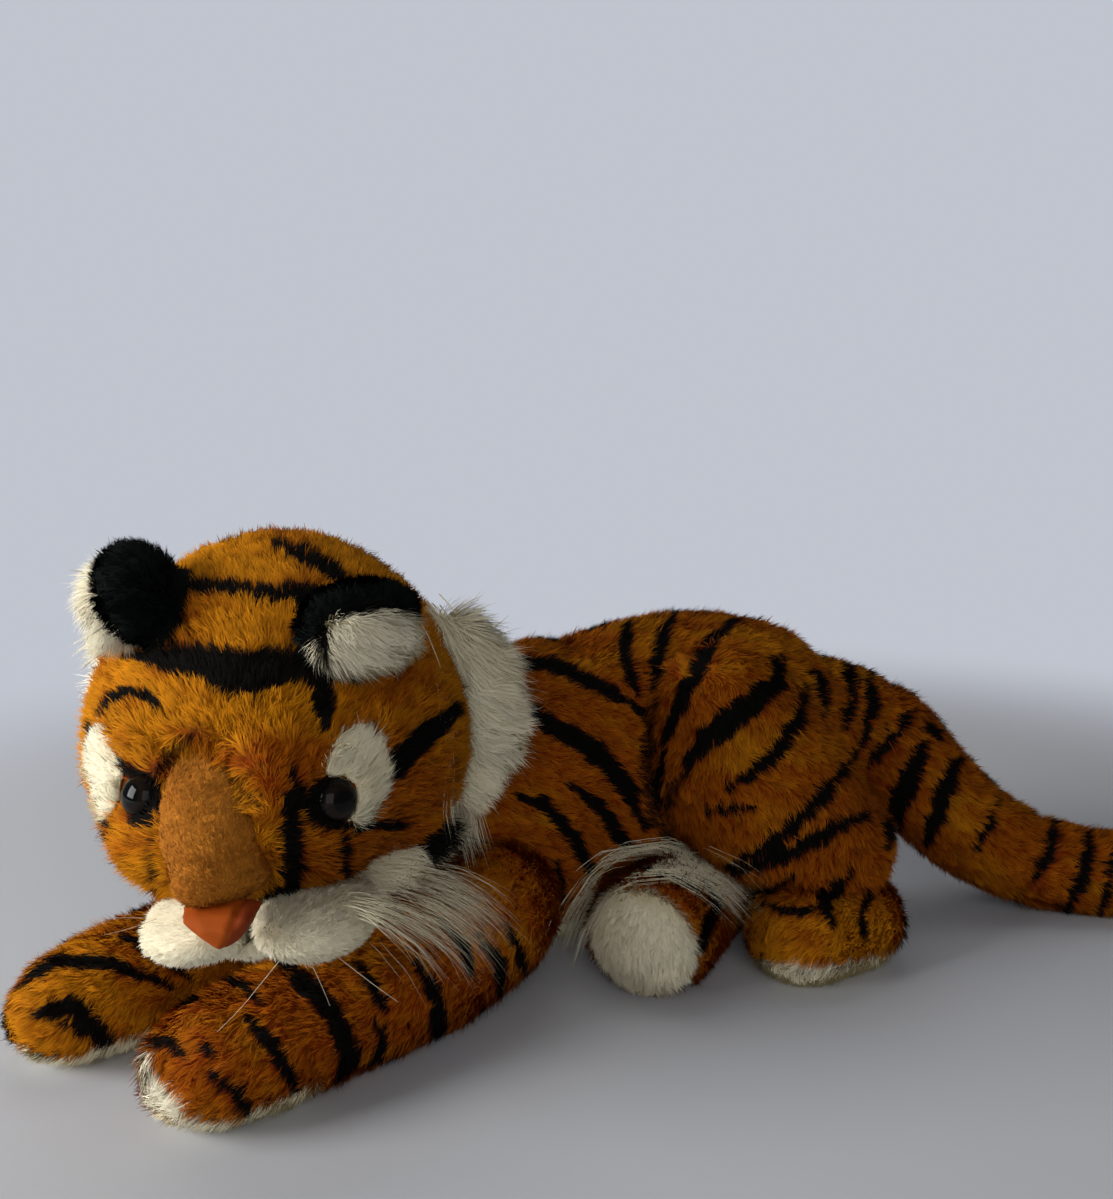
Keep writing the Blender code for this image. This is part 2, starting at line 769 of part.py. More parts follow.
def washer_mesh():
    """Flat ring that holds the eye's shank from inside."""
    disc = turned(
        [
            (0.0, -WASHER_SETBACK - WASHER_THICKNESS),
            (WASHER_RADIUS, -WASHER_SETBACK - WASHER_THICKNESS),
            (WASHER_RADIUS, -WASHER_SETBACK),
            (0.0, -WASHER_SETBACK),
        ]
    )
    bore = turned(
        [
            (0.0, -EYE_SHANK_LENGTH),
            (EYE_SHANK_RADIUS + GAP, -EYE_SHANK_LENGTH),
            (EYE_SHANK_RADIUS + GAP, 0.0),
            (0.0, 0.0),
        ]
    )
    return combined(disc, [bore])


def arc_loft(skull, rows, side, width, thickness, out, cap, rings):
    """A pad that follows a line of places on the skull, left or right by the side's sign."""
    path = []
    outwards = []
    widths = []
    heights = []
    for azimuth, elevation, share in rows:
        point, normal = skull.seat(azimuth * side, elevation)
        path.append(skull.frame @ (point + normal * out))
        outwards.append((skull.frame.to_3x3() @ normal).normalized())
        widths.append(share * width / 2)
        heights.append(share * thickness / 2)
    return Loft(path, widths, heights, heights, (cap, cap), 12, rings, outwards)


class Ear:
    """One ear: places of its root, flap and pad in the head's frame."""

    def __init__(self, skull, seat, facing, tilt):
        point, normal = skull.seat(*seat)
        self.skull = skull
        self.root = point - normal * EAR_SINK
        aim = Vector((math.sin(math.radians(facing)), math.cos(math.radians(facing)), 0.0))
        aim = (Matrix.Rotation(math.radians(tilt), 3, aim.cross(UP)) @ aim).normalized()
        self.up = (normal - aim * normal.dot(aim)).normalized()
        self.aim = aim
        self.axis = self.up.cross(aim).normalized()
        self.basis = Matrix((self.axis, self.up, self.aim)).transposed()

    def flap(self, grow=0.0):
        """Cupped black flap as a rounded disc standing on its root."""
        centre = self.root + self.up * (EAR_HEIGHT / 2)
        sizes = (EAR_WIDTH / 2, EAR_HEIGHT / 2, EAR_THICKNESS / 2)
        disc = ellipsoid(centre, sizes, grow, self.basis, 18, 8)
        return combined(disc, [self.roll(grow)], "UNION")

    def roll(self, grow=0.0):
        """Rolled root along the fold axis."""
        half = self.axis * (EAR_ROOT_LENGTH / 2)
        sizes = [EAR_ROOT_RADIUS] * 2
        caps = (EAR_ROOT_RADIUS, EAR_ROOT_RADIUS)
        ends = [self.root - half, self.root + half]
        return Loft(ends, sizes, sizes, sizes, caps, EAR_ROOT_SIDES, 1, self.aim).mesh(grow)

    def pad(self, grow=0.0):
        """White pad inside the cup."""
        rise = self.up * EAR_HEIGHT * EAR_PAD_RISE_share
        centre = self.root + rise + self.aim * (EAR_THICKNESS / 2)
        sizes = (EAR_PAD_WIDTH / 2, EAR_PAD_HEIGHT / 2, EAR_PAD_THICKNESS / 2)
        return ellipsoid(centre, sizes, grow, self.basis, 14, 6)

    def placed(self, mesh):
        """A mesh of this ear moved into the toy's frame."""
        return faced_out(moved(mesh, self.skull.frame))

    def niche(self):
        """Convex cutter that clears the flap and its root in every fold."""
        fit = 1 / math.cos(math.pi / EAR_ROOT_SIDES)
        centre = self.root + self.up * (EAR_HEIGHT / 2)
        sizes = (EAR_WIDTH / 2, EAR_HEIGHT / 2, EAR_THICKNESS / 2)
        disc = ellipsoid(centre, sizes, SOCKET_GAP, self.basis, 16, 8, fit)
        roll = self.roll(SOCKET_GAP + EAR_ROOT_RADIUS * (fit - 1))
        outer = list(disc.vertices) + list(self.pad(SOCKET_GAP).vertices)
        points = [vert.co.copy() for vert in roll.vertices]
        for pose in swings(self.axis, self.root, EAR_FOLD_RANGE):
            points += [pose @ vert.co for vert in outer]
        return hull(points)


class Toy:
    """All bodies and pieces, with the empties that carry them."""

    def __init__(self):
        self.root = self.empty("tiger", None, Vector((0.0, 0.0, 0.0)))
        self.bodies = {}
        self.pieces = []
        self.materials = {}

    def empty(self, name, parent, place):
        """An empty at a place in the toy's frame, under its parent."""
        thing = bpy.data.objects.new(name, None)
        thing.empty_display_size = GAP
        bpy.context.collection.objects.link(thing)
        thing.parent = parent[0] if parent else None
        thing.location = place - parent[1] if parent else place
        return thing, place

    def body(self, name, pivot, parent=None):
        """A body that turns about its pivot, carried by another body or the toy."""
        holder = self.bodies[parent] if parent else self.root
        self.bodies[name] = self.empty("pivot_" + name, holder, pivot)

    def piece(self, name, mesh, body, finish):
        """One named piece, its origin on its body's pivot."""
        holder, pivot = self.bodies[body]
        mesh.transform(Matrix.Translation(-pivot))
        mesh.name = name
        mesh.materials.clear()
        mesh.materials.append(self.material(*finish))
        mesh.shade_smooth()
        mesh.set_sharp_from_angle(angle=math.radians(SHARP_ANGLE))
        thing = bpy.data.objects.new(name, mesh)
        thing.parent = holder
        bpy.context.collection.objects.link(thing)
        self.pieces.append(thing)

    def material(self, name, colour, roughness):
        """The Principled material of a finish, made once."""
        if name not in self.materials:
            made = bpy.data.materials.new(name)
            made.use_nodes = True
            shader = made.node_tree.nodes["Principled BSDF"]
            shader.inputs["Base Color"].default_value = (*colour, 1.0)
            shader.inputs["Roughness"].default_value = roughness
            shader.inputs["Metallic"].default_value = 0.0
            made.diffuse_color = (*colour, 1.0)
            self.materials[name] = made
        return self.materials[name]

    def settle(self):
        """Centre the toy over the origin of its floor and print where its joints are."""
        bpy.context.view_layer.update()
        corners = []
        for thing in self.pieces:
            corners += [thing.matrix_world @ vert.co for vert in thing.data.vertices]
        middle = [(min(c[i] for c in corners) + max(c[i] for c in corners)) / 2 for i in (0, 1)]
        shift = Vector((-middle[0], -middle[1], 0.0))
        self.root[0].location = shift
        for name, (_, pivot) in self.bodies.items():
            print(name, [round(value, 5) for value in pivot + shift])
        print("shift", [round(value, 5) for value in shift])


def build():
    """Model every piece of the toy."""
    for thing in list(bpy.data.objects):
        bpy.data.objects.remove(thing)
    toy = Toy()
    build_body(toy)
    build_head(toy)
    toy.settle()


def swings(axis, pivot, limits):
    """Matrices of a joint at both limits and half way."""
    low, high = limits[0] - SWING_SPARE, limits[1] + SWING_SPARE
    return [turn(angle, axis, pivot) for angle in (low, (low + high) / 2, high)]


def build_body(toy):
    """Torso, neck, limbs and tail."""
    neck_base, neck_top = neck_ends()
    neck_aim = neck_top - neck_base
    lift_axis = neck_aim.cross(UP).normalized()
    left_root = Vector((SHOULDER_LEFT_X, SHOULDER_LEFT_Y, SHOULDER_Z))
    right_root = Vector((SHOULDER_RIGHT_X, SHOULDER_RIGHT_Y, SHOULDER_Z))
    hip = Vector((HIP_X, HIP_SEAT_Y, HIP_Z))
    shank = shank_loft()
    tail = tail_loft()
    tail_root = tail.path[0]
    tail_axis = Vector((0.0, -1.0, 0.0))

    cutters = [socket(neck_base, NECK_BASE_RADIUS)]
    poses = swings(lift_axis, neck_base, HEAD_LIFT_RANGE)
    reach = neck_aim.length
    cutters.append(passage(neck_base, neck_aim, NECK_BASE_RADIUS, reach, poses))
    legs = (
        (left_root, FORELEG_LEFT_AIM, FORELEG_LEFT_SWING_RANGE, FORELEG_LENGTH),
        (
            right_root,
            FORELEG_RIGHT_AIM,
            FORELEG_RIGHT_SWING_RANGE,
            FORELEG_LENGTH + FORELEG_RIGHT_LONGER,
        ),
    )
    for root, aim, limits, length in legs:
        cutters.append(socket(root, FORELEG_ROOT_RADIUS))
        poses = swings(UP, root, limits)
        cutters.append(passage(root, heading(aim), FORELEG_ROOT_RADIUS, length, poses, to_floor=True))
    cutters.append(haunch_niche(hip, True))
    shank_root = shank.path[0]
    cutters.append(socket(shank_root, SHANK_ROOT_RADIUS))
    poses = swings(UP, shank_root, SHANK_SWING_RANGE)
    shank_aim = heading(SHANK_AIM)
    way = passage(shank_root, shank_aim, wide_of_shank(), SHANK_LENGTH, poses, to_floor=True)
    cutters.append(way)
    cutters.append(socket(tail_root, TAIL_ROOT_RADIUS))
    tail_aim = tail.path[1] - tail_root
    poses = swings(tail_axis, tail_root, TAIL_LIFT_RANGE)
    cutters.append(passage(tail_root, tail_aim, TAIL_ROOT_RADIUS, TAIL_REACH / 4, poses))

    toy.body("torso", Vector((TORSO_X, TORSO_Y, 0.0)))
    trunk = combined(torso_loft().mesh(), cutters + [floor_box()])
    wide = TORSO_LENGTH + TORSO_WIDTH
    corner = (wide, wide + TORSO_Y, BELLY_PANEL_DEPTH)
    slab = box((-wide, 0.0, -CUT_OVERRUN), corner)
    panel = combined(trunk.copy(), [slab], "INTERSECT")
    corner = (wide, wide + TORSO_Y, BELLY_PANEL_DEPTH + GAP)
    upper = combined(trunk, [box((-wide, 0.0, -CUT_OVERRUN), corner)])
    toy.piece("torso", upper, "torso", COAT)
    toy.piece("belly_panel", panel, "torso", PILE_WHITE)

    thigh_centre = Vector((THIGH_X, THIGH_Y, THIGH_Z))
    sizes = (THIGH_WIDTH / 2, THIGH_BULGE, THIGH_HEIGHT / 2)
    thigh = ellipsoid(thigh_centre, sizes, 0.0, None, 20, 10)
    poses = swings(UP, shank_root, SHANK_SWING_RANGE)
    cutters = [torso_loft().mesh(GAP), socket(shank_root, SHANK_ROOT_RADIUS)]
    way = passage(shank_root, shank_aim, wide_of_shank(), SHANK_LENGTH, poses, to_floor=True)
    cutters.append(way)
    tail_poses = swings(tail_axis, tail_root, TAIL_LIFT_RANGE)
    cutters.append(passage(tail_root, tail_aim, TAIL_ROOT_RADIUS, TAIL_REACH / 4, tail_poses))
    toy.piece("thigh_right", combined(thigh, cutters + [floor_box()]), "torso", COAT)

    toy.body("neck", neck_base, "torso")
    toy.piece("neck", neck_loft().mesh(), "neck", COAT)

    names = ("left", "right")
    for name, (root, aim, limits, length) in zip(names, legs):
        body = "foreleg_" + name
        toy.body(body, root, "torso")
        form = foreleg_loft(root, aim, length)
        spin = Matrix.Translation(root) @ Matrix.Rotation(math.radians(aim), 4, "Z")
        start = length + FORELEG_CAP - FORELEG_SOLE_LENGTH
        end = length + FORELEG_CAP + CUT_OVERRUN
        side = FORELEG_WIDTH
        top = FORELEG_SOLE_DEPTH - SHOULDER_Z
        bottom = -SHOULDER_Z - CUT_OVERRUN
        sole_box = box((start, -side, bottom), (end, side, top), spin)
        seat_box = box((start - GAP, -side, bottom), (end, side, top + GAP), spin)
        leg = combined(form.mesh(), [floor_box()])
        sole = combined(leg.copy(), [sole_box], "INTERSECT")
        toy.piece(body, combined(leg, [seat_box]), body, COAT)
        toy.piece("forepaw_sole_" + name, sole, body, PILE_WHITE)

    toy.body("hind_leg_left", hip, "torso")
    wide = HAUNCH_WIDTH * 2
    far = hip + Vector((wide, wide, wide))
    back = box((HIP_X - wide, HIP_SEAT_Y - GAP, HIP_Z - wide), far)
    haunch = combined(haunch_loft().mesh(), [back])
    toy.piece("haunch_left", haunch, "hind_leg_left", COAT)
    shell = haunch_loft().mesh(GAP)
    foot = combined(hind_foot_loft().mesh(), [shell, floor_box()])
    wide = TORSO_LENGTH + TORSO_WIDTH
    corner = (wide, wide + TORSO_Y, HIND_SOLE_DEPTH)
    sole = combined(foot.copy(), [box((-wide, 0.0, -CUT_OVERRUN), corner)], "INTERSECT")
    corner = (wide, wide + TORSO_Y, HIND_SOLE_DEPTH + GAP)
    foot = combined(foot, [box((-wide, 0.0, -CUT_OVERRUN), corner)])
    toy.piece("hind_foot_left", foot, "hind_leg_left", COAT)
    toy.piece("hind_sole_left", sole, "hind_leg_left", PILE_WHITE)

    toy.body("hind_foot_right", shank_root, "torso")
    spin = Matrix.Translation(shank_root) @ Matrix.Rotation(math.radians(SHANK_AIM), 4, "Z")
    start = SHANK_LENGTH + SHANK_CAP - SHANK_SOLE_DEPTH
    side = SHANK_WIDTH
    end = start + CUT_OVERRUN
    leg = combined(shank.mesh(), [haunch_niche(hip, False), floor_box()])
    sole = combined(leg.copy(), [box((start, -side, -side), (end, side, side), spin)], "INTERSECT")
    leg = combined(leg, [box((start - GAP, -side, -side), (end, side, side), spin)])
    toy.piece("hind_foot_right", leg, "hind_foot_right", COAT)
    toy.piece("hind_sole_right", sole, "hind_foot_right", PILE_WHITE)

    build_tail(toy, tail, tail_root)


def wide_of_shank():
    """Greatest half width of the folded shank."""
    return max(SHANK_WIDTH, SHANK_HEIGHT) / 2 * max(row[1] for row in SHANK_shares)


def build_tail(toy, tail, tail_root):
    """Three lengths of one tail, each with a round root in the one before."""
    toy.body("tail_base", tail_root, "torso")
    names = ("tail_base", "tail_middle", "tail_tip")
    places = (0.0,) + TAIL_BREAKS + (float(len(tail.path) - 1),)
    for i, name in enumerate(names):
        start, end = places[i], places[i + 1]
        last = name == names[-1]
        _, _, _, _, sizes = tail.section(start)
        caps = (sizes[0], TAIL_CAP if last else sizes[0])
        length = Loft(tail.path, tail.widths, tail.ups, tail.downs, caps, 16, 6)
        mesh = length.mesh(0.0, start, end)
        if i:
            toy.body(name, tail.section(start)[0], names[i - 1])
        cutters = [floor_box()]
        if not last:
            joint, forward, _, _, sizes = tail.section(end)
            cutters.append(socket(joint, sizes[0]))
            poses = swings(UP, joint, TAIL_SWING_RANGE)
            cutters.append(passage(joint, forward, sizes[0], TAIL_REACH / 4, poses))
        toy.piece(name, combined(mesh, cutters), name, COAT)


def build_head(toy):
    """Head with its face, eyes, ears and long fur pads."""
    skull = Skull()
    frame = skull.frame
    neck_base, neck_top = neck_ends()
    toy.body("head", neck_top, "neck")
    ears = {
        "left": Ear(skull, EAR_LEFT_SEAT, EAR_LEFT_FACING, EAR_LEFT_TILT),
        "right": Ear(skull, EAR_RIGHT_SEAT, EAR_RIGHT_FACING, EAR_RIGHT_TILT),
    }
    cutters = [socket(neck_top, NECK_TOP_RADIUS)]
    poses = swings(UP, neck_top, HEAD_TURN_RANGE)
    way = passage(neck_top, neck_base - neck_top, NECK_TOP_RADIUS, HEAD_DEPTH / 2, poses)
    cutters.append(way)
    eye, pocket = eye_profiles()
    places = {}
    for name, seat in (("left", EYE_LEFT_SEAT), ("right", EYE_RIGHT_SEAT)):
        point, normal = skull.seat(*seat)
        basis = framed(normal, UP)
        places[name] = frame @ (Matrix.Translation(point) @ basis.to_4x4())
        cutters.append(faced_out(moved(turned(pocket), places[name])))
    for ear in ears.values():
        cutters.append(ear.placed(ear.niche()))
    toy.piece("head", combined(skull.mesh(), cutters), "head", COAT)

    bridge = face_bridge(frame)
    muzzle = {name: muzzle_lobe(frame, side) for name, side in (("left", 1), ("right", -1))}
    body = combined(bridge.mesh(), [skull.mesh(GAP)])
    toy.piece("nose_bridge", body, "head", TAN_NAP)
    for name, side in (("left", 1), ("right", -1)):
        inner = cleft_box(side)
        lobe = muzzle[name]()
        lobe = combined(lobe, [skull.mesh(GAP), bridge.mesh(GAP), faced_out(moved(inner, frame))])
        toy.piece("muzzle_" + name, lobe, "head", PILE_WHITE)
    shells = [skull.mesh(GAP), bridge.mesh(GAP), muzzle["left"](GAP), muzzle["right"](GAP)]
    toy.piece("nose", combined(nose_form(frame), shells), "head", NOSE_CLOTH)
    shells = [skull.mesh(GAP), muzzle["left"](GAP), muzzle["right"](GAP)]
    toy.piece("chin", combined(chin_form(frame), shells), "head", PILE_WHITE)

    for name, side in (("left", 1), ("right", -1)):
        patch = eye_patch(skull, side)
        cutters = [skull.mesh(GAP), faced_out(moved(turned(pocket), places[name]))]
        toy.piece("eye_patch_" + name, combined(patch, cutters), "head", PILE_WHITE)
        toy.piece("eye_" + name, faced_out(moved(turned(eye), places[name])), "head", EYE_GLOSS)
        washer = faced_out(moved(washer_mesh(), places[name]))
        toy.piece("eye_washer_" + name, washer, "head", WASHER_PLASTIC)
        ruff = arc_loft(
            skull, RUFF_shares, side, RUFF_WIDTH, RUFF_THICKNESS, RUFF_OUT, RUFF_CAP, 8
        )
        ear = ears[name]
        base = [socket(neck_top, NECK_TOP_RADIUS)]
        turns = swings(UP, neck_top, HEAD_TURN_RANGE)
        base.append(
            passage(neck_top, neck_base - neck_top, NECK_TOP_RADIUS, HEAD_DEPTH / 2, turns)
        )
        shells = [skull.mesh(GAP), ear.placed(ear.niche())] + base
        toy.piece("ruff_" + name, combined(ruff.mesh(), shells), "head", PILE_WHITE)
        shells = [skull.mesh(TUFT_GAP), muzzle[name](GAP), ruff.mesh(GAP)]
        tuft = combined(jaw_tuft(skull, side), shells)
        toy.piece("jaw_tuft_" + name, tuft, "head", PILE_WHITE)

        holder = "ear_" + name
        toy.body(holder, frame @ ear.root, "head")
        back = combined(ear.flap(), [ear.pad(GAP)])
        toy.piece("ear_back_" + name, ear.placed(back), holder, COAT_BLACK)
        toy.piece("ear_pad_" + name, ear.placed(ear.pad()), holder, PILE_WHITE)
        axis = (frame.to_3x3() @ ear.axis).normalized()
        print("fold axis", name, [round(value, 5) for value in axis])


def face_bridge(frame):
    """Short-napped bridge from the brow to the nose."""
    rows = BRIDGE_shares
    last = len(rows) - 1
    path = []
    for i, (forward, rise, _, _) in enumerate(rows):
        skew = SNOUT_SKEW * (i / last - 0.5)
        path.append(frame @ Vector((skew, forward * HEAD_DEPTH, rise * HEAD_HEIGHT)))
    widths = [w * BRIDGE_WIDTH / 2 for y, z, w, t in rows]
    heights = [t * BRIDGE_THICKNESS / 2 for y, z, w, t in rows]
    return Loft(path, widths, heights, heights, (BRIDGE_CAP, BRIDGE_CAP), 14, 6)


def muzzle_lobe(frame, side):
    """Maker of one upper lip lobe, grown by a clearance."""
    spread = MUZZLE_LEFT_SPREAD if side > 0 else MUZZLE_RIGHT_SPREAD
    centre = Vector(
        (
            SNOUT_SKEW / 2 + side * spread,
            MUZZLE_FORWARD_share * HEAD_DEPTH,
            -MUZZLE_DROP_share * HEAD_HEIGHT,
        )
    )
    splay = Matrix.Rotation(math.radians(-side * MUZZLE_SPLAY), 3, "Z")
    sizes = (MUZZLE_WIDTH / 2, MUZZLE_LENGTH / 2, MUZZLE_HEIGHT / 2)

    def made(grow=0.0):
        return faced_out(moved(ellipsoid(centre, sizes, grow, splay, 16, 10), frame))

    return made


def cleft_box(side):
    """Cutter on the far side of the cleft between the two lobes, in the head's frame."""
    low = (-side * HEAD_WIDTH, 0.0, -HEAD_HEIGHT)
    high = (SNOUT_SKEW / 2 + side * CLEFT_GAP / 2, HEAD_DEPTH, HEAD_HEIGHT)
    return box(low, high)


def nose_form(frame):
    """Folded nose: wide above, drawn to a point below."""
    centre = Vector((SNOUT_SKEW / 2, NOSE_FORWARD_share * HEAD_DEPTH, -NOSE_DROP_share * HEAD_HEIGHT))
    outline = [(0.0, -1.0)]
    for across, rise in NOSE_OUTLINE_shares:
        outline += [(across, rise), (-across, rise)]
    points = []
    for depth, width, height in NOSE_LAYER_shares:
        for across, rise in outline:
            x = across * width * NOSE_WIDTH / 2
            z = rise * height * NOSE_HEIGHT / 2
            points.append(frame @ (centre + Vector((x, depth * NOSE_DEPTH / 2, z))))
    return hull(points)


def chin_form(frame):
    """Small lower lip behind the lobes."""
    centre = Vector((SNOUT_SKEW / 2, CHIN_FORWARD_share * HEAD_DEPTH, -CHIN_DROP_share * HEAD_HEIGHT))
    sizes = (CHIN_WIDTH / 2, CHIN_LENGTH / 2, CHIN_HEIGHT / 2)
    return faced_out(moved(ellipsoid(centre, sizes, 0.0, None, 14, 8), frame))


def jaw_tuft(skull, side):
    """Long tuft that hangs from the back of one jaw."""
    point, normal = skull.seat(TUFT_AZIMUTH * side, TUFT_ELEVATION)
    basis = framed(normal, UP) @ Matrix.Rotation(math.radians(TUFT_TILT * side), 3, "Z")
    sizes = (TUFT_LENGTH / 2, TUFT_WIDTH / 2, TUFT_THICKNESS / 2)
    return faced_out(moved(ellipsoid(point, sizes, 0.0, basis, 14, 8), skull.frame))


def eye_patch(skull, side):
    """White patch that lies on the skull beside one eye."""
    point, normal = skull.seat(*(PATCH_LEFT_SEAT if side > 0 else PATCH_RIGHT_SEAT))
    basis = framed(normal, UP) @ Matrix.Rotation(math.radians(PATCH_TILT * side), 3, "Z")
    sizes = (PATCH_WIDTH / 2, PATCH_HEIGHT / 2, PATCH_DEPTH / 2)
    oval = ellipsoid(point, sizes, 0.0, basis, 16, 8)
    oval = faced_out(moved(oval, skull.frame))
    return combined(oval, [skull.mesh(PATCH_LIFT)], "INTERSECT")


build()
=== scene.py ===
"""Looks of the lying plush tiger: pile, long hair, nose cloth, eyes, whiskers, floor and light.

Each stuffed form gets a hide, a smooth skin with the filling's soft lumps, and a fleece of real
tapered fibres that stand on it. The markings on the side that faces the camera are laid out in
the photograph's own pixels, and those on the hidden sides follow bands round the body.
"""

import json
import logging
import math
from dataclasses import dataclass, field
from enum import Enum
from functools import cache

import bmesh
import bpy
import numpy as np
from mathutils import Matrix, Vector
from mathutils.bvhtree import BVHTree


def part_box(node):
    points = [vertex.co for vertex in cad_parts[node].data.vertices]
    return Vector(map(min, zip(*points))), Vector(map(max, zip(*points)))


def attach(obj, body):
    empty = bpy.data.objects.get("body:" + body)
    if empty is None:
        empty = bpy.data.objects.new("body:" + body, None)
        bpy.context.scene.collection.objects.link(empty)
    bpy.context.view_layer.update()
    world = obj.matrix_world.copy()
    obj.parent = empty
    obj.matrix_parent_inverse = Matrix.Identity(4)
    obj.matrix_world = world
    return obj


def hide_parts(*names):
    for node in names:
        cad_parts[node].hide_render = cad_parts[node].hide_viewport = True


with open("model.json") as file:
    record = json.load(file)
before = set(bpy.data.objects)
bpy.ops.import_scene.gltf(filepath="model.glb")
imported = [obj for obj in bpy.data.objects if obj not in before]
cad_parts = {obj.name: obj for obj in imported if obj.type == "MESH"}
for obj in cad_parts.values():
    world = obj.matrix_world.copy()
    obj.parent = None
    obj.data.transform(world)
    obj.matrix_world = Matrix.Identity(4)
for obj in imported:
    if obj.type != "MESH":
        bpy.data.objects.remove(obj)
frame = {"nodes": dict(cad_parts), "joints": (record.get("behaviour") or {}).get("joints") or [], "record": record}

LOG = logging.getLogger("tiger")
FLOOR_GAP = 0.0007
WAVES = 5
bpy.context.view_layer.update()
Colour = tuple[float, float, float]


@dataclass(frozen=True)
class PhotoView:
    """The photograph's viewpoint, for the camera and for laying out the markings."""

    place: Colour = (-0.1024, -0.54982, 0.28)
    pitch: float = 8.0
    focal: float = 1116.0
    width: float = 1113.0
    height: float = 1199.0
    sensor: float = 36.0

    def project(self, points: np.ndarray) -> np.ndarray:
        """Find where points of the toy fall in the photograph.

        Args:
            points: Places in metres, one row each.

        Returns:
            Pixel coordinates, one row each.
        """
        lean = math.radians(self.pitch)
        away = points - np.array(self.place)
        depth = away[:, 1] * math.cos(lean) - away[:, 2] * math.sin(lean)
        rise = away[:, 1] * math.sin(lean) + away[:, 2] * math.cos(lean)
        across = self.width / 2 + self.focal * away[:, 0] / depth
        down = self.height / 2 - self.focal * rise / depth
        return np.stack([across, down], axis=1)

    def facing(self, points: np.ndarray, normals: np.ndarray) -> np.ndarray:
        """Tell how much each place faces the viewpoint.

        Args:
            points: Places in metres.
            normals: Outward directions there.

        Returns:
            The cosine between each normal and the way to the viewpoint.
        """
        way = np.array(self.place) - points
        way /= np.linalg.norm(way, axis=1, keepdims=True)
        return np.sum(way * normals, axis=1)

    def ray(self, pixel: np.ndarray) -> Vector:
        """Way from the viewpoint through a pixel, one metre deep from front to back or so.

        Args:
            pixel: The pixel's two coordinates.

        Returns:
            The way, not of unit length.
        """
        lean = math.radians(self.pitch)
        right = (pixel[0] - self.width / 2) / self.focal
        up = -(pixel[1] - self.height / 2) / self.focal
        forward = math.cos(lean) + up * math.sin(lean)
        return Vector((right, forward, up * math.cos(lean) - math.sin(lean)))

    def make_camera(self) -> None:
        """Create the camera at the photograph's place."""
        data = bpy.data.cameras.new("photo_camera")
        data.sensor_width = self.sensor
        data.lens = self.sensor * self.focal / max(self.width, self.height)
        camera = bpy.data.objects.new("photo_camera", data)
        camera.location = self.place
        camera.rotation_euler = (math.radians(90.0 - self.pitch), 0.0, 0.0)
        bpy.context.scene.collection.objects.link(camera)
        bpy.context.scene.camera = camera


VIEW = PhotoView()


def ramp(values: np.ndarray, low: float, high: float) -> np.ndarray:
    """Smooth step from 0 at the low value to 1 at the high one."""
    share = np.clip((values - low) / (high - low), 0.0, 1.0)
    return share * share * (3.0 - 2.0 * share)


def drift(points: np.ndarray, scale: float, seed: int) -> np.ndarray:
    """Soft noise from a few crossing waves.

    Args:
        points: Places in metres.
        scale: Size of the patches in metres.
        seed: Start of the random numbers.

    Returns:
        Values from about -1 to 1.
    """
    rng = np.random.default_rng(seed)
    total = np.zeros(len(points))
    for _ in range(WAVES):
        way = rng.normal(size=3)
        way *= 2 * math.pi / scale / np.linalg.norm(way) * rng.uniform(0.6, 1.4)
        total += np.sin(points @ way + rng.uniform(0, 2 * math.pi))
    return total / math.sqrt(WAVES)


@dataclass(frozen=True)
class Stripe:
    """One dark marking: its middle line in the photograph's pixels, and its thickness there."""

    line: tuple[tuple[float, float], ...]
    thick: float
    blunt: float = 0.5

    POINTED = 0.3
    SOFT = 2.4

    def cover(self, pixels: np.ndarray, rough: np.ndarray) -> np.ndarray:
        """Tell how much the marking covers each pixel.

        Args:
            pixels: Pixel coordinates.
            rough: Noise that frays the edge, in pixels.

        Returns:
            Cover from 0 to 1.
        """
        line = np.array(self.line)
        spans = np.linalg.norm(np.diff(line, axis=0), axis=1)
        length = spans.sum()
        best = np.full(len(pixels), 1e9)
        where = np.zeros(len(pixels))
        start = 0.0
        for first, last, span in zip(line[:-1], line[1:], spans):
            share = np.clip(((pixels - first) @ (last - first)) / max(span * span, 1e-9), 0.0, 1.0)
            gap = np.linalg.norm(pixels - first - share[:, None] * (last - first), axis=1)
            nearer = gap < best
            best = np.where(nearer, gap, best)
            where = np.where(nearer, (start + share * span) / length, where)
            start += span
        end = np.minimum(where, 1.0 - where)
        half = self.thick / 2 * (self.blunt + (1.0 - self.blunt) * ramp(end, 0.0, self.POINTED))
        return ramp(half + rough - best, -self.SOFT, self.SOFT)


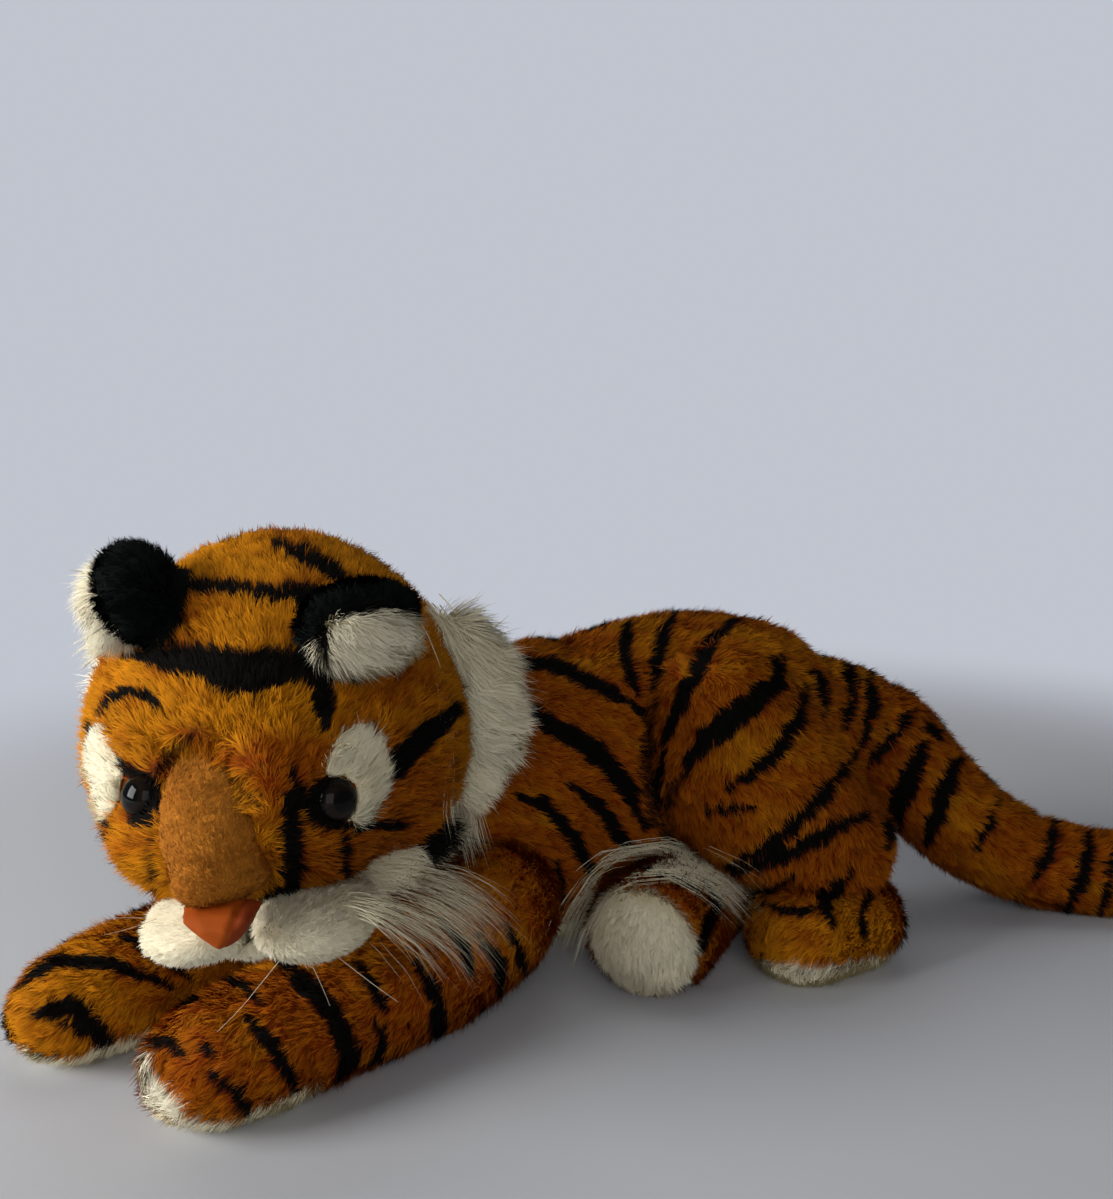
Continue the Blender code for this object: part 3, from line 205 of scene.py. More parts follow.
class Markings:
    """The dark markings of each form, as the photograph shows them."""

    # How dark the painted shade in the folds gets, from 0 to 1.
    FOLD_SHADE_DARK = 0.62
    STRIPES: dict[str, tuple[Stripe, ...]] = {
        "head": (
            Stripe(((126, 656), (160, 655), (196, 660), (234, 666), (272, 664), (318, 656)), 34, 0.25),
            Stripe(((196, 664), (226, 678), (262, 678), (300, 668)), 30, 0.4),
            Stripe(((262, 664), (296, 664), (332, 668), (352, 672)), 36, 0.6),
            Stripe(((162, 592), (190, 585), (222, 584), (262, 592), (318, 598)), 15),
            Stripe(((290, 590), (318, 600), (322, 640)), 26, 0.8),
            Stripe(((277, 543), (306, 556), (330, 570), (352, 584)), 20),
            Stripe(((99, 713), (112, 698), (130, 692), (148, 696), (160, 707)), 13),
            Stripe(((318, 662), (322, 690), (324, 724)), 26, 0.5),
            Stripe(((369, 790), (392, 770), (416, 744), (456, 710)), 25, 0.7),
            Stripe(((340, 825), (372, 826), (402, 826)), 12, 0.8),
            Stripe(((291, 798), (292, 838), (297, 866), (292, 886), (272, 898)), 23, 0.7),
            Stripe(((343, 832), (346, 858), (348, 888)), 13),
            Stripe(((424, 850), (402, 862), (382, 876), (366, 890)), 13),
            Stripe(((292, 770), (300, 790), (296, 806)), 13, 0.8),
            Stripe(((118, 760), (134, 774), (148, 796), (151, 826)), 15, 0.5),
            Stripe(((86, 800), (96, 815), (108, 826)), 7),
            Stripe(((88, 722), (90, 734)), 8, 0.8),
        ),
        "body": (
            Stripe(((924, 744), (910, 782), (896, 814), (887, 846)), 22),
            Stripe(((545, 634), (572, 627), (604, 624)), 9),
            Stripe(((500, 661), (552, 664), (603, 686), (642, 712)), 17),
            Stripe(((628, 620), (625, 653), (641, 694)), 15),
            Stripe(((674, 614), (662, 642), (653, 690)), 15),
            Stripe(((736, 620), (710, 643), (688, 688), (664, 742)), 17),
            Stripe(((780, 659), (776, 684), (744, 711), (704, 742), (688, 763)), 27),
            Stripe(((806, 687), (799, 722), (772, 760), (730, 789)), 17),
            Stripe(((709, 813), (755, 808)), 11),
            Stripe(((857, 753), (834, 783), (800, 822), (766, 850), (727, 867)), 16),
            Stripe(((869, 814), (834, 829), (800, 850), (733, 874)), 18),
            Stripe(((800, 873), (776, 886), (754, 895)), 10),
            Stripe(((851, 872), (824, 900), (833, 924)), 15),
            Stripe(((761, 906), (800, 912), (828, 906)), 10),
            Stripe(((870, 890), (862, 915), (866, 940)), 9),
            Stripe(((516, 700), (553, 726), (592, 749), (626, 783), (645, 826)), 22),
            Stripe(((519, 797), (547, 805), (575, 838), (592, 874)), 16),
            Stripe(((572, 785), (598, 805), (620, 838), (638, 852)), 16),
            Stripe(((558, 861), (561, 908)), 11),
            Stripe(((430, 832), (470, 846), (502, 868), (530, 904)), 24),
            Stripe(((440, 852), (462, 858), (486, 872)), 24),
            Stripe(((663, 752), (656, 790), (662, 826)), 10),
            Stripe(((640, 868), (668, 874), (700, 890)), 9),
            Stripe(((706, 880), (716, 905), (700, 948), (676, 966)), 12),
            Stripe(((814, 672), (823, 690), (826, 712)), 14),
            Stripe(((845, 652), (854, 688), (846, 728)), 14),
            Stripe(((871, 673), (874, 709), (862, 745)), 14),
            Stripe(((915, 711), (890, 743), (868, 768)), 14),
            Stripe(((930, 727), (940, 737)), 12, 0.9),
            Stripe(((914, 769), (899, 794), (896, 818)), 16),
            Stripe(((959, 761), (942, 798), (928, 842)), 21),
            Stripe(((1000, 800), (990, 826), (976, 850)), 9),
            Stripe(((1056, 821), (1050, 853), (1033, 883)), 14),
            Stripe(((1090, 830), (1086, 874), (1066, 912)), 15),
            Stripe(((1118, 846), (1111, 880), (1100, 917)), 12),
            Stripe(((1150, 850), (1146, 880), (1136, 915)), 14),
            Stripe(((1190, 824), (1186, 872), (1172, 932)), 15),
            Stripe(((1232, 824), (1226, 862)), 12),
            Stripe(((1268, 826), (1262, 880), (1250, 938)), 16),
            Stripe(((1308, 830), (1302, 884), (1292, 940)), 15),
            Stripe(((1346, 844), (1340, 890), (1332, 940)), 17),
        ),
        "foreleg_left": (
            Stripe(((281, 962), (314, 992), (338, 1025), (349, 1058), (337, 1098)), 23),
            Stripe(((246, 1019), (276, 1049), (298, 1096)), 15),
            Stripe(((374, 1019), (383, 1043), (368, 1080)), 13),
            Stripe(((352, 960), (372, 985), (384, 1012)), 12),
            Stripe(((416, 962), (439, 1004), (435, 1052)), 16),
            Stripe(((478, 934), (500, 964), (500, 1000)), 13),
            Stripe(((506, 926), (519, 948), (523, 972)), 11),
            Stripe(((440, 920), (462, 944), (474, 980)), 12),
            Stripe(((132, 1042), (168, 1043), (184, 1060)), 14),
            Stripe(((208, 1074), (236, 1094), (254, 1130)), 16),
            Stripe(((176, 1000), (196, 996)), 13, 0.8),
            Stripe(((202, 1042), (212, 1056)), 9, 0.8),
            Stripe(((166, 1104), (188, 1114)), 8),
            Stripe(((215, 972), (240, 984), (262, 1004)), 11),
        ),
        "foreleg_right": (
            Stripe(((10, 990), (56, 960), (112, 963), (170, 988)), 14),
            Stripe(((34, 1016), (72, 1008), (104, 1040), (112, 1068)), 24),
            Stripe(((121, 936), (163, 957), (192, 981)), 13),
            Stripe(((60, 1024), (84, 1036)), 12, 0.8),
        ),
        "ear_pad_left": (
            Stripe(((300, 592), (314, 628), (320, 672)), 30, 0.8),
            Stripe(((322, 606), (360, 602), (398, 598), (420, 612)), 24, 0.8),
        ),
        # Painted shadow: the dark gap behind the jaw, laid as dark stripes on the white ruff and jaw tuft.
        "ruff_left": (Stripe(((432, 846), (448, 862), (466, 872)), 26, 0.8),),
        "jaw_tuft_left": (Stripe(((428, 828), (462, 850), (502, 874)), 58, 0.8),),
    }
    BODY: tuple[str, ...] = (
        "torso",
        "neck",
        "haunch_left",
        "thigh_right",
        "hind_foot_left",
        "hind_foot_right",
        "tail_base",
        "tail_middle",
        "tail_tip",
    )
    PALES: dict[str, tuple[Stripe, ...]] = {
        "foreleg_left": (Stripe(((128, 1040), (138, 1076), (158, 1106), (194, 1130)), 28, 0.6),),
        "foreleg_right": (Stripe(((26, 1062), (70, 1078), (126, 1082)), 16, 0.6),),
        "hind_foot_left": (Stripe(((764, 966), (800, 978), (842, 976), (876, 962)), 20, 0.6),),
    }
    # Spots of deeper tone: partly the pile's own red-orange, partly painted shade, as on the torso flank behind
    # the head and in the creases round the brows.
    DEEP_TONE_AND_SHADE: dict[str, tuple[tuple[float, float, float, float], ...]] = {
        "head": (
            (190, 742, 24, 0.9),
            (392, 690, 40, 0.9),
            (390, 850, 46, 1.0),
            (300, 760, 26, 0.8),
            (165, 764, 15, 1.4),
            (128, 768, 11, 1.2),
            (284, 772, 18, 1.3),
            (262, 748, 14, 1.0),
            (404, 780, 40, 0.8),
        ),
        "body": (
            (545, 760, 90, 0.9),
            (600, 850, 70, 1.0),
            (692, 785, 60, 0.9),
            (800, 890, 40, 0.9),
            (650, 975, 60, 0.7),
            (900, 800, 50, 0.8),
            (699, 725, 40, 1.0),
            (679, 794, 34, 1.0),
            (812, 872, 26, 1.0),
            (590, 790, 60, 1.2),
        ),
        "foreleg_left": ((440, 1010, 80, 1.0), (310, 1030, 50, 0.6), (230, 1060, 22, 0.7)),
        "foreleg_right": ((110, 1040, 34, 0.9), (150, 990, 30, 0.7)),
    }
    BULGES: dict[str, tuple[tuple[float, float, float, float], ...]] = {
        "head": (
            (134, 728, 24, 0.0042),
            (272, 752, 26, 0.0040),
            (122, 856, 30, 0.0030),
            (396, 700, 44, 0.0020),
        ),
        "foreleg_left": (
            (160, 1050, 20, 0.0035),
            (196, 1092, 22, 0.0035),
            (240, 1108, 18, 0.0025),
            (196, 1012, 20, 0.0030),
        ),
        "foreleg_right": ((40, 1010, 20, 0.0035), (72, 1046, 20, 0.0030), (52, 976, 18, 0.0025)),
    }
    # Painted shade: dark lines in the creases between brows and nose bridge and in the fold between torso and
    # haunch.
    FOLD_SHADES: dict[str, tuple[Stripe, ...]] = {
        "head": (
            Stripe(((204, 720), (182, 746), (160, 768), (148, 790)), 12, 0.4),
            Stripe(((206, 764), (238, 784), (262, 812)), 8, 0.4),
            Stripe(((152, 800), (149, 850), (154, 900)), 7, 0.6),
        ),
        "torso": (Stripe(((652, 700), (646, 760), (655, 820), (690, 862)), 16, 0.5),),
        "haunch_left": (
            Stripe(((655, 700), (648, 760), (660, 826), (700, 866)), 12, 0.5),
            Stripe(((690, 770), (672, 790), (668, 820)), 14, 0.4),
        ),
    }

    def photo_side(self, node: str, points: np.ndarray) -> np.ndarray:
        """Cover of the markings that the photograph shows, with painted shade in the folds.

        Args:
            node: The form that the points belong to.
            points: Places in metres.

        Returns:
            Cover from 0 to 1.
        """
        group = "body" if node in self.BODY else node
        cover = self.covered(self.STRIPES.get(group, ()), points)
        return np.maximum(cover, self.FOLD_SHADE_DARK * self.covered(self.FOLD_SHADES.get(node, ()), points))

    def covered(self, stripes: tuple[Stripe, ...], points: np.ndarray) -> np.ndarray:
        """Cover of a set of markings.

        Args:
            stripes: The markings.
            points: Places in metres.

        Returns:
            Cover from 0 to 1.
        """
        pixels = VIEW.project(points)
        rough = 1.8 * drift(points, 0.010, 11) + 0.9 * drift(points, 0.004, 12)
        cover = np.zeros(len(points))
        for stripe in stripes:
            cover = np.maximum(cover, stripe.cover(pixels, rough))
        return cover

    def bulge(self, node: str, points: np.ndarray) -> np.ndarray:
        """How far the filling pushes a skin out in places, in metres."""
        return self.spots(self.BULGES.get(node, ()), points)

    def patch(self, node: str, points: np.ndarray) -> np.ndarray:
        """Where the pile has more of the deeper tone, partly its own and partly painted shade."""
        group = "body" if node in self.BODY else node
        return self.spots(self.DEEP_TONE_AND_SHADE.get(group, ()), points)

    def spots(self, spots: tuple[tuple[float, float, float, float], ...], points: np.ndarray) -> np.ndarray:
        """Highest of some soft round spots.

        Args:
            spots: Middle and reach in the photograph's pixels, and the height, of each spot.
            points: Places in metres.

        Returns:
            A height for each place.
        """
        pixels = VIEW.project(points)
        rise = np.zeros(len(points))
        for x, y, reach, height in spots:
            gap = np.linalg.norm(pixels - (x, y), axis=1)
            rise = np.maximum(rise, height * np.exp(-((gap / reach) ** 2)))
        return rise


class Wrap(Enum):
    """How the markings of the hidden sides go round a form."""

    NONE = 0
    ACROSS_X = 1
    ACROSS_Y = 2
    ALONG_LEG = 3


def bands(points: np.ndarray, wrap: Wrap, step: float, seed: int) -> np.ndarray:
    """Cover of the markings on a side that the photograph doesn't show.

    Args:
        points: Places in metres.
        wrap: How the bands go round the form.
        step: Distance from band to band in metres.
        seed: Start of the random numbers.

    Returns:
        Cover from 0 to 1.
    """
    if wrap is Wrap.NONE:
        return np.zeros(len(points))
    ways = {
        Wrap.ACROSS_X: np.array((1.0, 0.15, 0.12)),
        Wrap.ACROSS_Y: np.array((0.15, 1.0, -0.25)),
        Wrap.ALONG_LEG: np.array((0.72, 0.69, 0.05)),
    }
    place = points @ ways[wrap] + 0.30 * step * drift(points, step * 3.2, seed)
    phase = place / step * 2 * math.pi
    width = -0.55 + 0.35 * drift(points, step * 1.7, seed + 1)
    fray = 0.12 * drift(points, 0.004, seed + 2)
    return ramp(np.sin(phase) + width + fray, -0.06, 0.06)


class Flow(Enum):
    """How the pile of a form is combed."""

    STRAIGHT = 0
    FROM_NOSE = 1
    FROM_JOINT = 2


@dataclass(frozen=True)
class Pile:
    """Sizes of one kind of pile, in metres and degrees."""

    length: float = 0.0085
    width: float = 0.00055
    density: float = 1.35e6
    lean: float = 36.0
    droop: float = 34.0
    segments: int = 2
    clump: float = 0.0042
    pull: float = 0.60
    sway: float = 0.26
    scatter: float = 0.15
    uneven: float = 0.35
    stray: float = 0.04


@dataclass(frozen=True)
class Form:
    """How one stuffed form is dressed: its pile, its comb, its markings and its finish."""

    node: str
    slot: str
    finish: str
    pile: Pile
    comb: Colour = (1.0, 0.0, -0.4)
    flow: Flow = Flow.STRAIGHT
    wrap: Wrap = Wrap.NONE
    step: float = 0.034
    voxel: float = 0.003
    smooth: int = 8
    full: float = 0.0006
    lumps: float = 0.0010
    fill: float = 0.7
    below: tuple[str, ...] = ()
    # Shift of the deeper tone over the whole form: partly its own tone, partly painted shade (darker) and painted
    # light (lighter).
    dye: float = 0.0


FACE = Pile(length=0.0080, width=0.0005, density=1.9e6, lean=38.0, clump=0.0036)
COAT = Pile(length=0.0088, lean=42.0)
LIMB = Pile(length=0.0080, lean=38.0)
SOLE = Pile(length=0.0068, width=0.0004, density=2.6e6, lean=28.0, clump=0.0032, pull=0.5)
LIP = Pile(length=0.0038, width=0.0004, density=3.4e6, lean=48.0, clump=0.0022, pull=0.4)
NAP = Pile(length=0.0024, width=0.00035, density=4.6e6, lean=42.0, clump=0.0017, pull=0.5)
PATCH = Pile(length=0.0070, width=0.0004, density=3.4e6, lean=44.0, clump=0.0026, pull=0.4)
EAR = Pile(length=0.0062, width=0.0005, density=2.6e6, lean=34.0, clump=0.0034)
EAR_FLUFF = Pile(length=0.0110, width=0.0004, density=3.0e6, lean=36.0, segments=3, clump=0.0036)
RUFF = Pile(
    length=0.0200, width=0.0005, density=2.6e6, lean=50.0, segments=4, clump=0.0046, pull=0.55, sway=0.22
)
TUFT = Pile(
    length=0.0150,
    width=0.0004,
    density=1.7e6,
    lean=60.0,
    segments=4,
    clump=0.0060,
    pull=0.70,
    sway=0.40,
    scatter=0.20,
    uneven=0.55,
)

FORMS: tuple[Form, ...] = (
    # The torso's shift is partly painted shade on its flank.
    Form(
        "torso", "coat", "coat", COAT, (1.0, 0.12, -0.40),
        wrap=Wrap.ACROSS_X, step=0.040, smooth=14, dye=0.55,
    ),
    Form("belly_panel", "white_pile", "white", SOLE, (0.3, -0.4, -0.8)),
    Form("thigh_right", "coat", "coat", COAT, (0.30, 0.10, -0.95), wrap=Wrap.ACROSS_X, step=0.032, dye=0.4),
    Form("neck", "coat", "coat", COAT, (0.60, 0.70, -0.35), wrap=Wrap.ACROSS_Y, step=0.034, dye=0.4),
    Form(
        "head",
        "coat",
        "coat",
        FACE,
        flow=Flow.FROM_NOSE,
        wrap=Wrap.ACROSS_Y,
        smooth=10,
        below=("eye_patch_left", "eye_patch_right"),
    ),
    Form("nose_bridge", "tan_nap", "tan", NAP, flow=Flow.FROM_NOSE, voxel=0.002, lumps=0.0003),
    Form(
        "muzzle_left", "white_pile", "white", LIP, flow=Flow.FROM_NOSE,
        voxel=0.002, full=0.0003, lumps=0.0,
    ),
    Form(
        "muzzle_right", "white_pile", "white", LIP, flow=Flow.FROM_NOSE,
        voxel=0.002, full=0.0003, lumps=0.0,
    ),
    Form("chin", "white_pile", "white", LIP, flow=Flow.FROM_NOSE, voxel=0.002, lumps=0.0004),
    Form(
        "eye_patch_left", "white_pile", "white", PATCH, (0.6, 0.2, 0.5),
        voxel=0.0016, smooth=3, lumps=0.0,
    ),
    Form(
        "eye_patch_right", "white_pile", "white", PATCH, (-0.6, 0.2, 0.5),
        voxel=0.0016, smooth=3, lumps=0.0,
    ),
    Form("ear_back_left", "black_pile", "black", EAR, flow=Flow.FROM_JOINT, voxel=0.002),
    Form("ear_back_right", "black_pile", "black", EAR, flow=Flow.FROM_JOINT, voxel=0.002),
    Form("ear_pad_left", "white_pile", "white", EAR_FLUFF, (0.95, -0.2, -0.40), voxel=0.002),
    Form("ear_pad_right", "white_pile", "white", EAR_FLUFF, (-0.45, 0.1, -0.85), voxel=0.002),
    Form("ruff_left", "white_pile", "white", RUFF, (0.75, 0.25, -0.60), voxel=0.0025, full=0.0003),
    Form("ruff_right", "white_pile", "white", RUFF, (-0.70, 0.30, -0.60), voxel=0.0025, full=0.0003),
    Form("jaw_tuft_left", "white_pile", "white", TUFT, (0.90, 0.25, -0.32), voxel=0.002, full=0.0003),
    Form("jaw_tuft_right", "white_pile", "white", TUFT, (-0.80, 0.35, -0.30), voxel=0.002, full=0.0003),
    Form(
        "foreleg_left", "coat", "coat", LIMB, (-0.70, -0.70, -0.25),
        wrap=Wrap.ALONG_LEG, step=0.034, dye=0.3,
    ),
    # Painted light: the far foreleg's negative shift makes it lighter, as if lit from the left.
    Form(
        "foreleg_right", "coat", "coat", LIMB, (-0.66, -0.72, -0.25),
        wrap=Wrap.ALONG_LEG, step=0.034, dye=-0.6,
    ),
    Form("forepaw_sole_left", "white_pile", "white", SOLE, (-0.6, -0.6, -0.2), voxel=0.002, lumps=0.0004),
    Form("forepaw_sole_right", "white_pile", "white", SOLE, (-0.6, -0.6, -0.2), voxel=0.002, lumps=0.0004),
    Form("haunch_left", "coat", "coat", COAT, (0.35, 0.0, -0.90), dye=0.45),
    Form("hind_foot_left", "coat", "coat", LIMB, (-0.80, -0.50, -0.30), wrap=Wrap.ACROSS_X, dye=-0.4),
    Form("hind_sole_left", "white_pile", "white", SOLE, (-0.4, -0.7, -0.3), voxel=0.002, lumps=0.0004),
    Form("hind_foot_right", "coat", "coat", LIMB, (-0.42, -0.88, -0.20), wrap=Wrap.ALONG_LEG, dye=0.1),
    Form("hind_sole_right", "white_pile", "white", SOLE, (0.1, -0.2, -0.9), voxel=0.002, lumps=0.0004),
    Form("tail_base", "coat", "coat", COAT, (0.90, -0.05, -0.45), wrap=Wrap.ACROSS_X, step=0.030, dye=0.5),
    Form(
        "tail_middle", "coat", "coat", COAT, (0.78, -0.10, -0.62),
        wrap=Wrap.ACROSS_X, step=0.030, dye=0.5,
    ),
    Form("tail_tip", "coat", "coat", COAT, (1.0, -0.12, 0.0), wrap=Wrap.ACROSS_X, step=0.030, dye=0.35),
)


def new_mesh(
    name: str,
    points: np.ndarray,
    corners: np.ndarray,
    starts: np.ndarray,
) -> bpy.types.Mesh:
    """Build mesh data from flat arrays.

    Args:
        name: Name of the mesh.
        points: Places, one row each.
        corners: Point numbers of all faces in a row.
        starts: Where each face starts among the corners.

    Returns:
        The new mesh.
    """
    mesh = bpy.data.meshes.new(name)
    mesh.vertices.add(len(points))
    mesh.vertices.foreach_set("co", points.astype(np.float32).ravel())
    mesh.loops.add(len(corners))
    mesh.loops.foreach_set("vertex_index", corners.astype(np.int32))
    mesh.polygons.add(len(starts))
    mesh.polygons.foreach_set("loop_start", starts.astype(np.int32))
    mesh.update(calc_edges=True)
    return mesh


def set_values(mesh: bpy.types.Mesh, name: str, values: np.ndarray) -> None:
    """Store one number for each point under a name that the materials read."""
    layer = mesh.attributes.new(name, "FLOAT", "POINT")
    layer.data.foreach_set("value", values.astype(np.float32))


def link(name: str, data: bpy.types.ID) -> bpy.types.Object:
    """Put new data into the scene as an object of that name.

    Args:
        name: Name of the object.
        data: Its mesh, curve, lamp or camera data.

    Returns:
        The object.
    """
    made = bpy.data.objects.new(name, data)
    bpy.context.scene.collection.objects.link(made)
    return made


def report(name: str, count: int, units: str) -> None:
    """Say through the log that a piece is made, and how much there is of it."""
    LOG.info("%s: %d %s", name, count, units)


@dataclass
class Solids:
    """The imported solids, for telling which part of a hide is covered by a neighbour."""

    trees: dict[str, BVHTree] = field(default_factory=dict)
    boxes: dict[str, tuple[np.ndarray, np.ndarray]] = field(default_factory=dict)
    whole: BVHTree | None = None

    def __post_init__(self) -> None:
        """Read every node's mesh once."""
        every, sides = [], []
        for name, thing in frame["nodes"].items():
            places = [vert.co.copy() for vert in thing.data.vertices]
            faces = [tuple(face.vertices) for face in thing.data.polygons]
            self.trees[name] = BVHTree.FromPolygons(places, faces)
            low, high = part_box(name)
            self.boxes[name] = (np.array(low), np.array(high))
            sides += [tuple(corner + len(every) for corner in face) for face in faces]
            every += places
        self.whole = BVHTree.FromPolygons(every, sides)

    def covered(self, names: tuple[str, ...], points: np.ndarray) -> np.ndarray:
        """Tell which places lie inside some of the solids.

        Args:
            names: The solids that count.
            points: Places in metres.

        Returns:
            True for each place inside one of them.
        """
        hidden = np.zeros(len(points), bool)
        for name in names:
            tree = self.trees[name]
            low, high = self.boxes[name]
            near = np.all((points > low) & (points < high), axis=1) & ~hidden
            for i in np.flatnonzero(near):
                spot = Vector(points[i])
                found = tree.find_nearest(spot)
                if found[0] is not None and (spot - found[0]).dot(found[1]) < 0:
                    hidden[i] = True
        return hidden


@dataclass(frozen=True)
class EyeSeat:
    """Where a packed eye sits: the middle of its rim and the way that it looks."""

    RADIUS = 0.0085
    DOME = 0.0058

    middle: Vector
    axis: Vector

    @classmethod
    def of(cls, side: str) -> "EyeSeat":
        """Find the seat of the eye on one side.

        Args:
            side: Either left or right.

        Returns:
            The seat.
        """
        points = np.array([vert.co for vert in frame["nodes"]["eye_" + side].data.vertices])
        middle = points.mean(axis=0)
        low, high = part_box("head")
        out = Vector(middle) - (low + high) / 2
        _, _, ways = np.linalg.svd(points - middle, full_matrices=False)
        axis = Vector(max(ways, key=lambda way: abs(Vector(way).dot(out)))).normalized()
        axis = axis if axis.dot(out) > 0 else -axis
        along = points @ np.array(axis)
        rim = points[along > along.max() - cls.DOME - 0.0004].mean(axis=0)
        rim += np.array(axis) * (along.max() - cls.DOME - rim @ np.array(axis))
        return cls(Vector(rim), axis)

    def apart(self, points: np.ndarray) -> tuple[np.ndarray, np.ndarray]:
        """Distance of places from the eye's axis, and their height over its rim.

        Args:
            points: Places in metres.

        Returns:
            Distances and heights in metres.
        """
        away = points - np.array(self.middle)
        height = away @ np.array(self.axis)
        flat = away - height[..., None] * np.array(self.axis)
        return np.linalg.norm(flat, axis=-1), height


EYES = (EyeSeat.of("left"), EyeSeat.of("right"))


class Paint:
    """Marking, tone and depth of colour at each place of a form, painted shade and painted light included."""

    LINED = ("head", "eye_patch_left", "eye_patch_right")
    SEEN = (0.02, 0.22)
    SOLE_SEEN = (-0.15, 0.10)
    LINING = (1.05, 1.40)
    LINING_SHIFT = 0.45
    DEEP = 0.30
    DEEPER_BELOW = 2.5
    DEEPER_PATCH = 1.1

    def __init__(self, form: Form, markings: Markings) -> None:
        """Keep the form and the markings that it is painted with."""
        self.form = form
        self.markings = markings

    def dark(self, points: np.ndarray, normals: np.ndarray) -> np.ndarray:
        """Cover of the dark markings, with painted shade in the folds and painted shadow behind the jaw.

        Args:
            points: Places in metres.
            normals: Outward directions there.

        Returns:
            Cover from 0 to 1.
        """
        form = self.form
        lining = self.lining(points)
        seen = ramp(VIEW.facing(points, normals), *self.SEEN)
        cover = seen * self.markings.photo_side(form.node, points)
        if form.finish != "coat":
            return np.maximum(cover, lining)
        seed = 40 + 7 * [other.node for other in FORMS].index(form.node)
        cover = cover + (1.0 - seen) * bands(points, form.wrap, form.step, seed)
        return np.maximum(cover, lining)

    def lining(self, points: np.ndarray) -> np.ndarray:
        """Cover of the dark lining round the eyes, wider towards the nose.

        Args:
            points: Places in metres.

        Returns:
            Cover from 0 to 1.
        """
        cover = np.zeros(len(points))
        if self.form.node not in self.LINED:
            return cover
        low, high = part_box("nose_bridge")
        for eye in EYES:
            inward = ((low + high) / 2 - eye.middle).normalized() * (self.LINING_SHIFT * eye.RADIUS)
            reach, _ = EyeSeat(eye.middle + inward, eye.axis).apart(points)
            inner, outer = (share * eye.RADIUS for share in self.LINING)
            cover = np.maximum(cover, 1.0 - ramp(reach, inner, outer))
        return cover

    def pale(self, points: np.ndarray, normals: np.ndarray) -> np.ndarray:
        """Share of the white pile that comes round from a sole."""
        seen = ramp(VIEW.facing(points, normals), *self.SOLE_SEEN)
        return seen * self.markings.covered(self.markings.PALES.get(self.form.node, ()), points)

    def deep(self, points: np.ndarray) -> np.ndarray:
        """Share of the deeper red-orange tone: soft patches of the pile's own tone, more of it towards the bottom,
        painted shade in folds and shaded spots, and the form's shift, which is painted shade on some forms and
        painted light on others.

        Args:
            points: Places in metres.

        Returns:
            Share from 0 to 1.
        """
        soft = 0.50 * drift(points, 0.050, 5) + 0.38 * drift(points, 0.014, 6)
        patch = self.DEEPER_PATCH * self.markings.patch(self.form.node, points)
        height = self.DEEPER_BELOW * points[:, 2]
        return ramp(soft + self.DEEP + self.form.dye - height + patch, -0.6, 1.0)


class Hide:
    """The skin of one stuffed form."""

    LOWEST = 0.0006
    TUCK = 0.0004
    PROBES = (0.0005, 0.0015)

    def __init__(self, form: Form, body: str, paint: Paint) -> None:
        """Keep what the skin is made from.

        Args:
            form: How the form is dressed.
            body: The body that it rides on.
            paint: Its colours, place by place.
        """
        self.form = form
        self.body = body
        self.paint = paint

    def build(self, solids: Solids) -> bpy.types.Object:
        """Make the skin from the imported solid, smoothed and softly lumped.

        Args:
            solids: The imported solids, for where a smaller form is sewn on.

        Returns:
            The skin as an object that rides on its body.
        """
        form = self.form
        holder = link("skin_work", frame["nodes"][form.node].data.copy())
        mould = holder.modifiers.new("even", "REMESH")
        mould.mode = "VOXEL"
        mould.voxel_size = form.voxel
        soften = holder.modifiers.new("soften", "SMOOTH")
        soften.factor = 0.5
        soften.iterations = form.smooth
        graph = bpy.context.evaluated_depsgraph_get()
        mesh = bpy.data.meshes.new_from_object(holder.evaluated_get(graph))
        old = holder.data
        bpy.data.objects.remove(holder)
        bpy.data.meshes.remove(old)
        points, normals = self.read(mesh)
        swell = form.full + form.lumps * (0.5 + 0.5 * drift(points, 0.036, 3))
        facing = ramp(VIEW.facing(points, normals), 0.0, 0.4)
        swell += facing * self.paint.markings.bulge(form.node, points)
        if form.below:
            for probe in self.PROBES:
                swell[solids.covered(form.below, points + normals * probe)] = -self.TUCK
        points = points + normals * swell[:, None]
        points[:, 2] = np.maximum(points[:, 2], self.LOWEST)
        mesh.vertices.foreach_set("co", points.astype(np.float32).ravel())
        mesh.update()
        mesh.shade_smooth()
        self.points, self.normals = self.read(mesh)
        set_values(mesh, "dark", self.paint.dark(self.points, self.normals))
        set_values(mesh, "deep", self.paint.deep(self.points))
        set_values(mesh, "pale", self.paint.pale(self.points, self.normals))
        set_values(mesh, "tint", 0.4 * drift(self.points, 0.006, 8))
        # Painted shade: the skin under the pile reads as a fibre near its root, so it takes the darker root tone.
        set_values(mesh, "along", np.full(len(self.points), 0.25))
        mesh.name = form.node + "_hide"
        made = link(form.node + "_hide", mesh)
        mesh.materials.clear()
        mesh.materials.append(FINISHES[form.finish].material("hide"))
        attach(made, self.body)
        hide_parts(form.node)
        report(made.name, len(mesh.vertices), "points")
        self.mesh = mesh
        return made

    def read(self, mesh: bpy.types.Mesh) -> tuple[np.ndarray, np.ndarray]:
        """Places and smooth normals of a mesh's points.

        Args:
            mesh: The mesh to read.

        Returns:
            Places and unit normals, one row each.
        """
        count = len(mesh.vertices)
        places = np.empty(count * 3, np.float32)
        mesh.vertices.foreach_get("co", places)
        ways = np.empty(count * 3, np.float32)
        mesh.vertex_normals.foreach_get("vector", ways)
        return places.reshape(-1, 3).astype(float), ways.reshape(-1, 3).astype(float)

    def triangles(self) -> np.ndarray:
        """Point numbers of the skin's triangles.

        Returns:
            Three numbers for each triangle.
        """
        self.mesh.calc_loop_triangles()
        corners = np.empty(len(self.mesh.loop_triangles) * 3, np.int32)
        self.mesh.loop_triangles.foreach_get("vertices", corners)
        return corners.reshape(-1, 3)


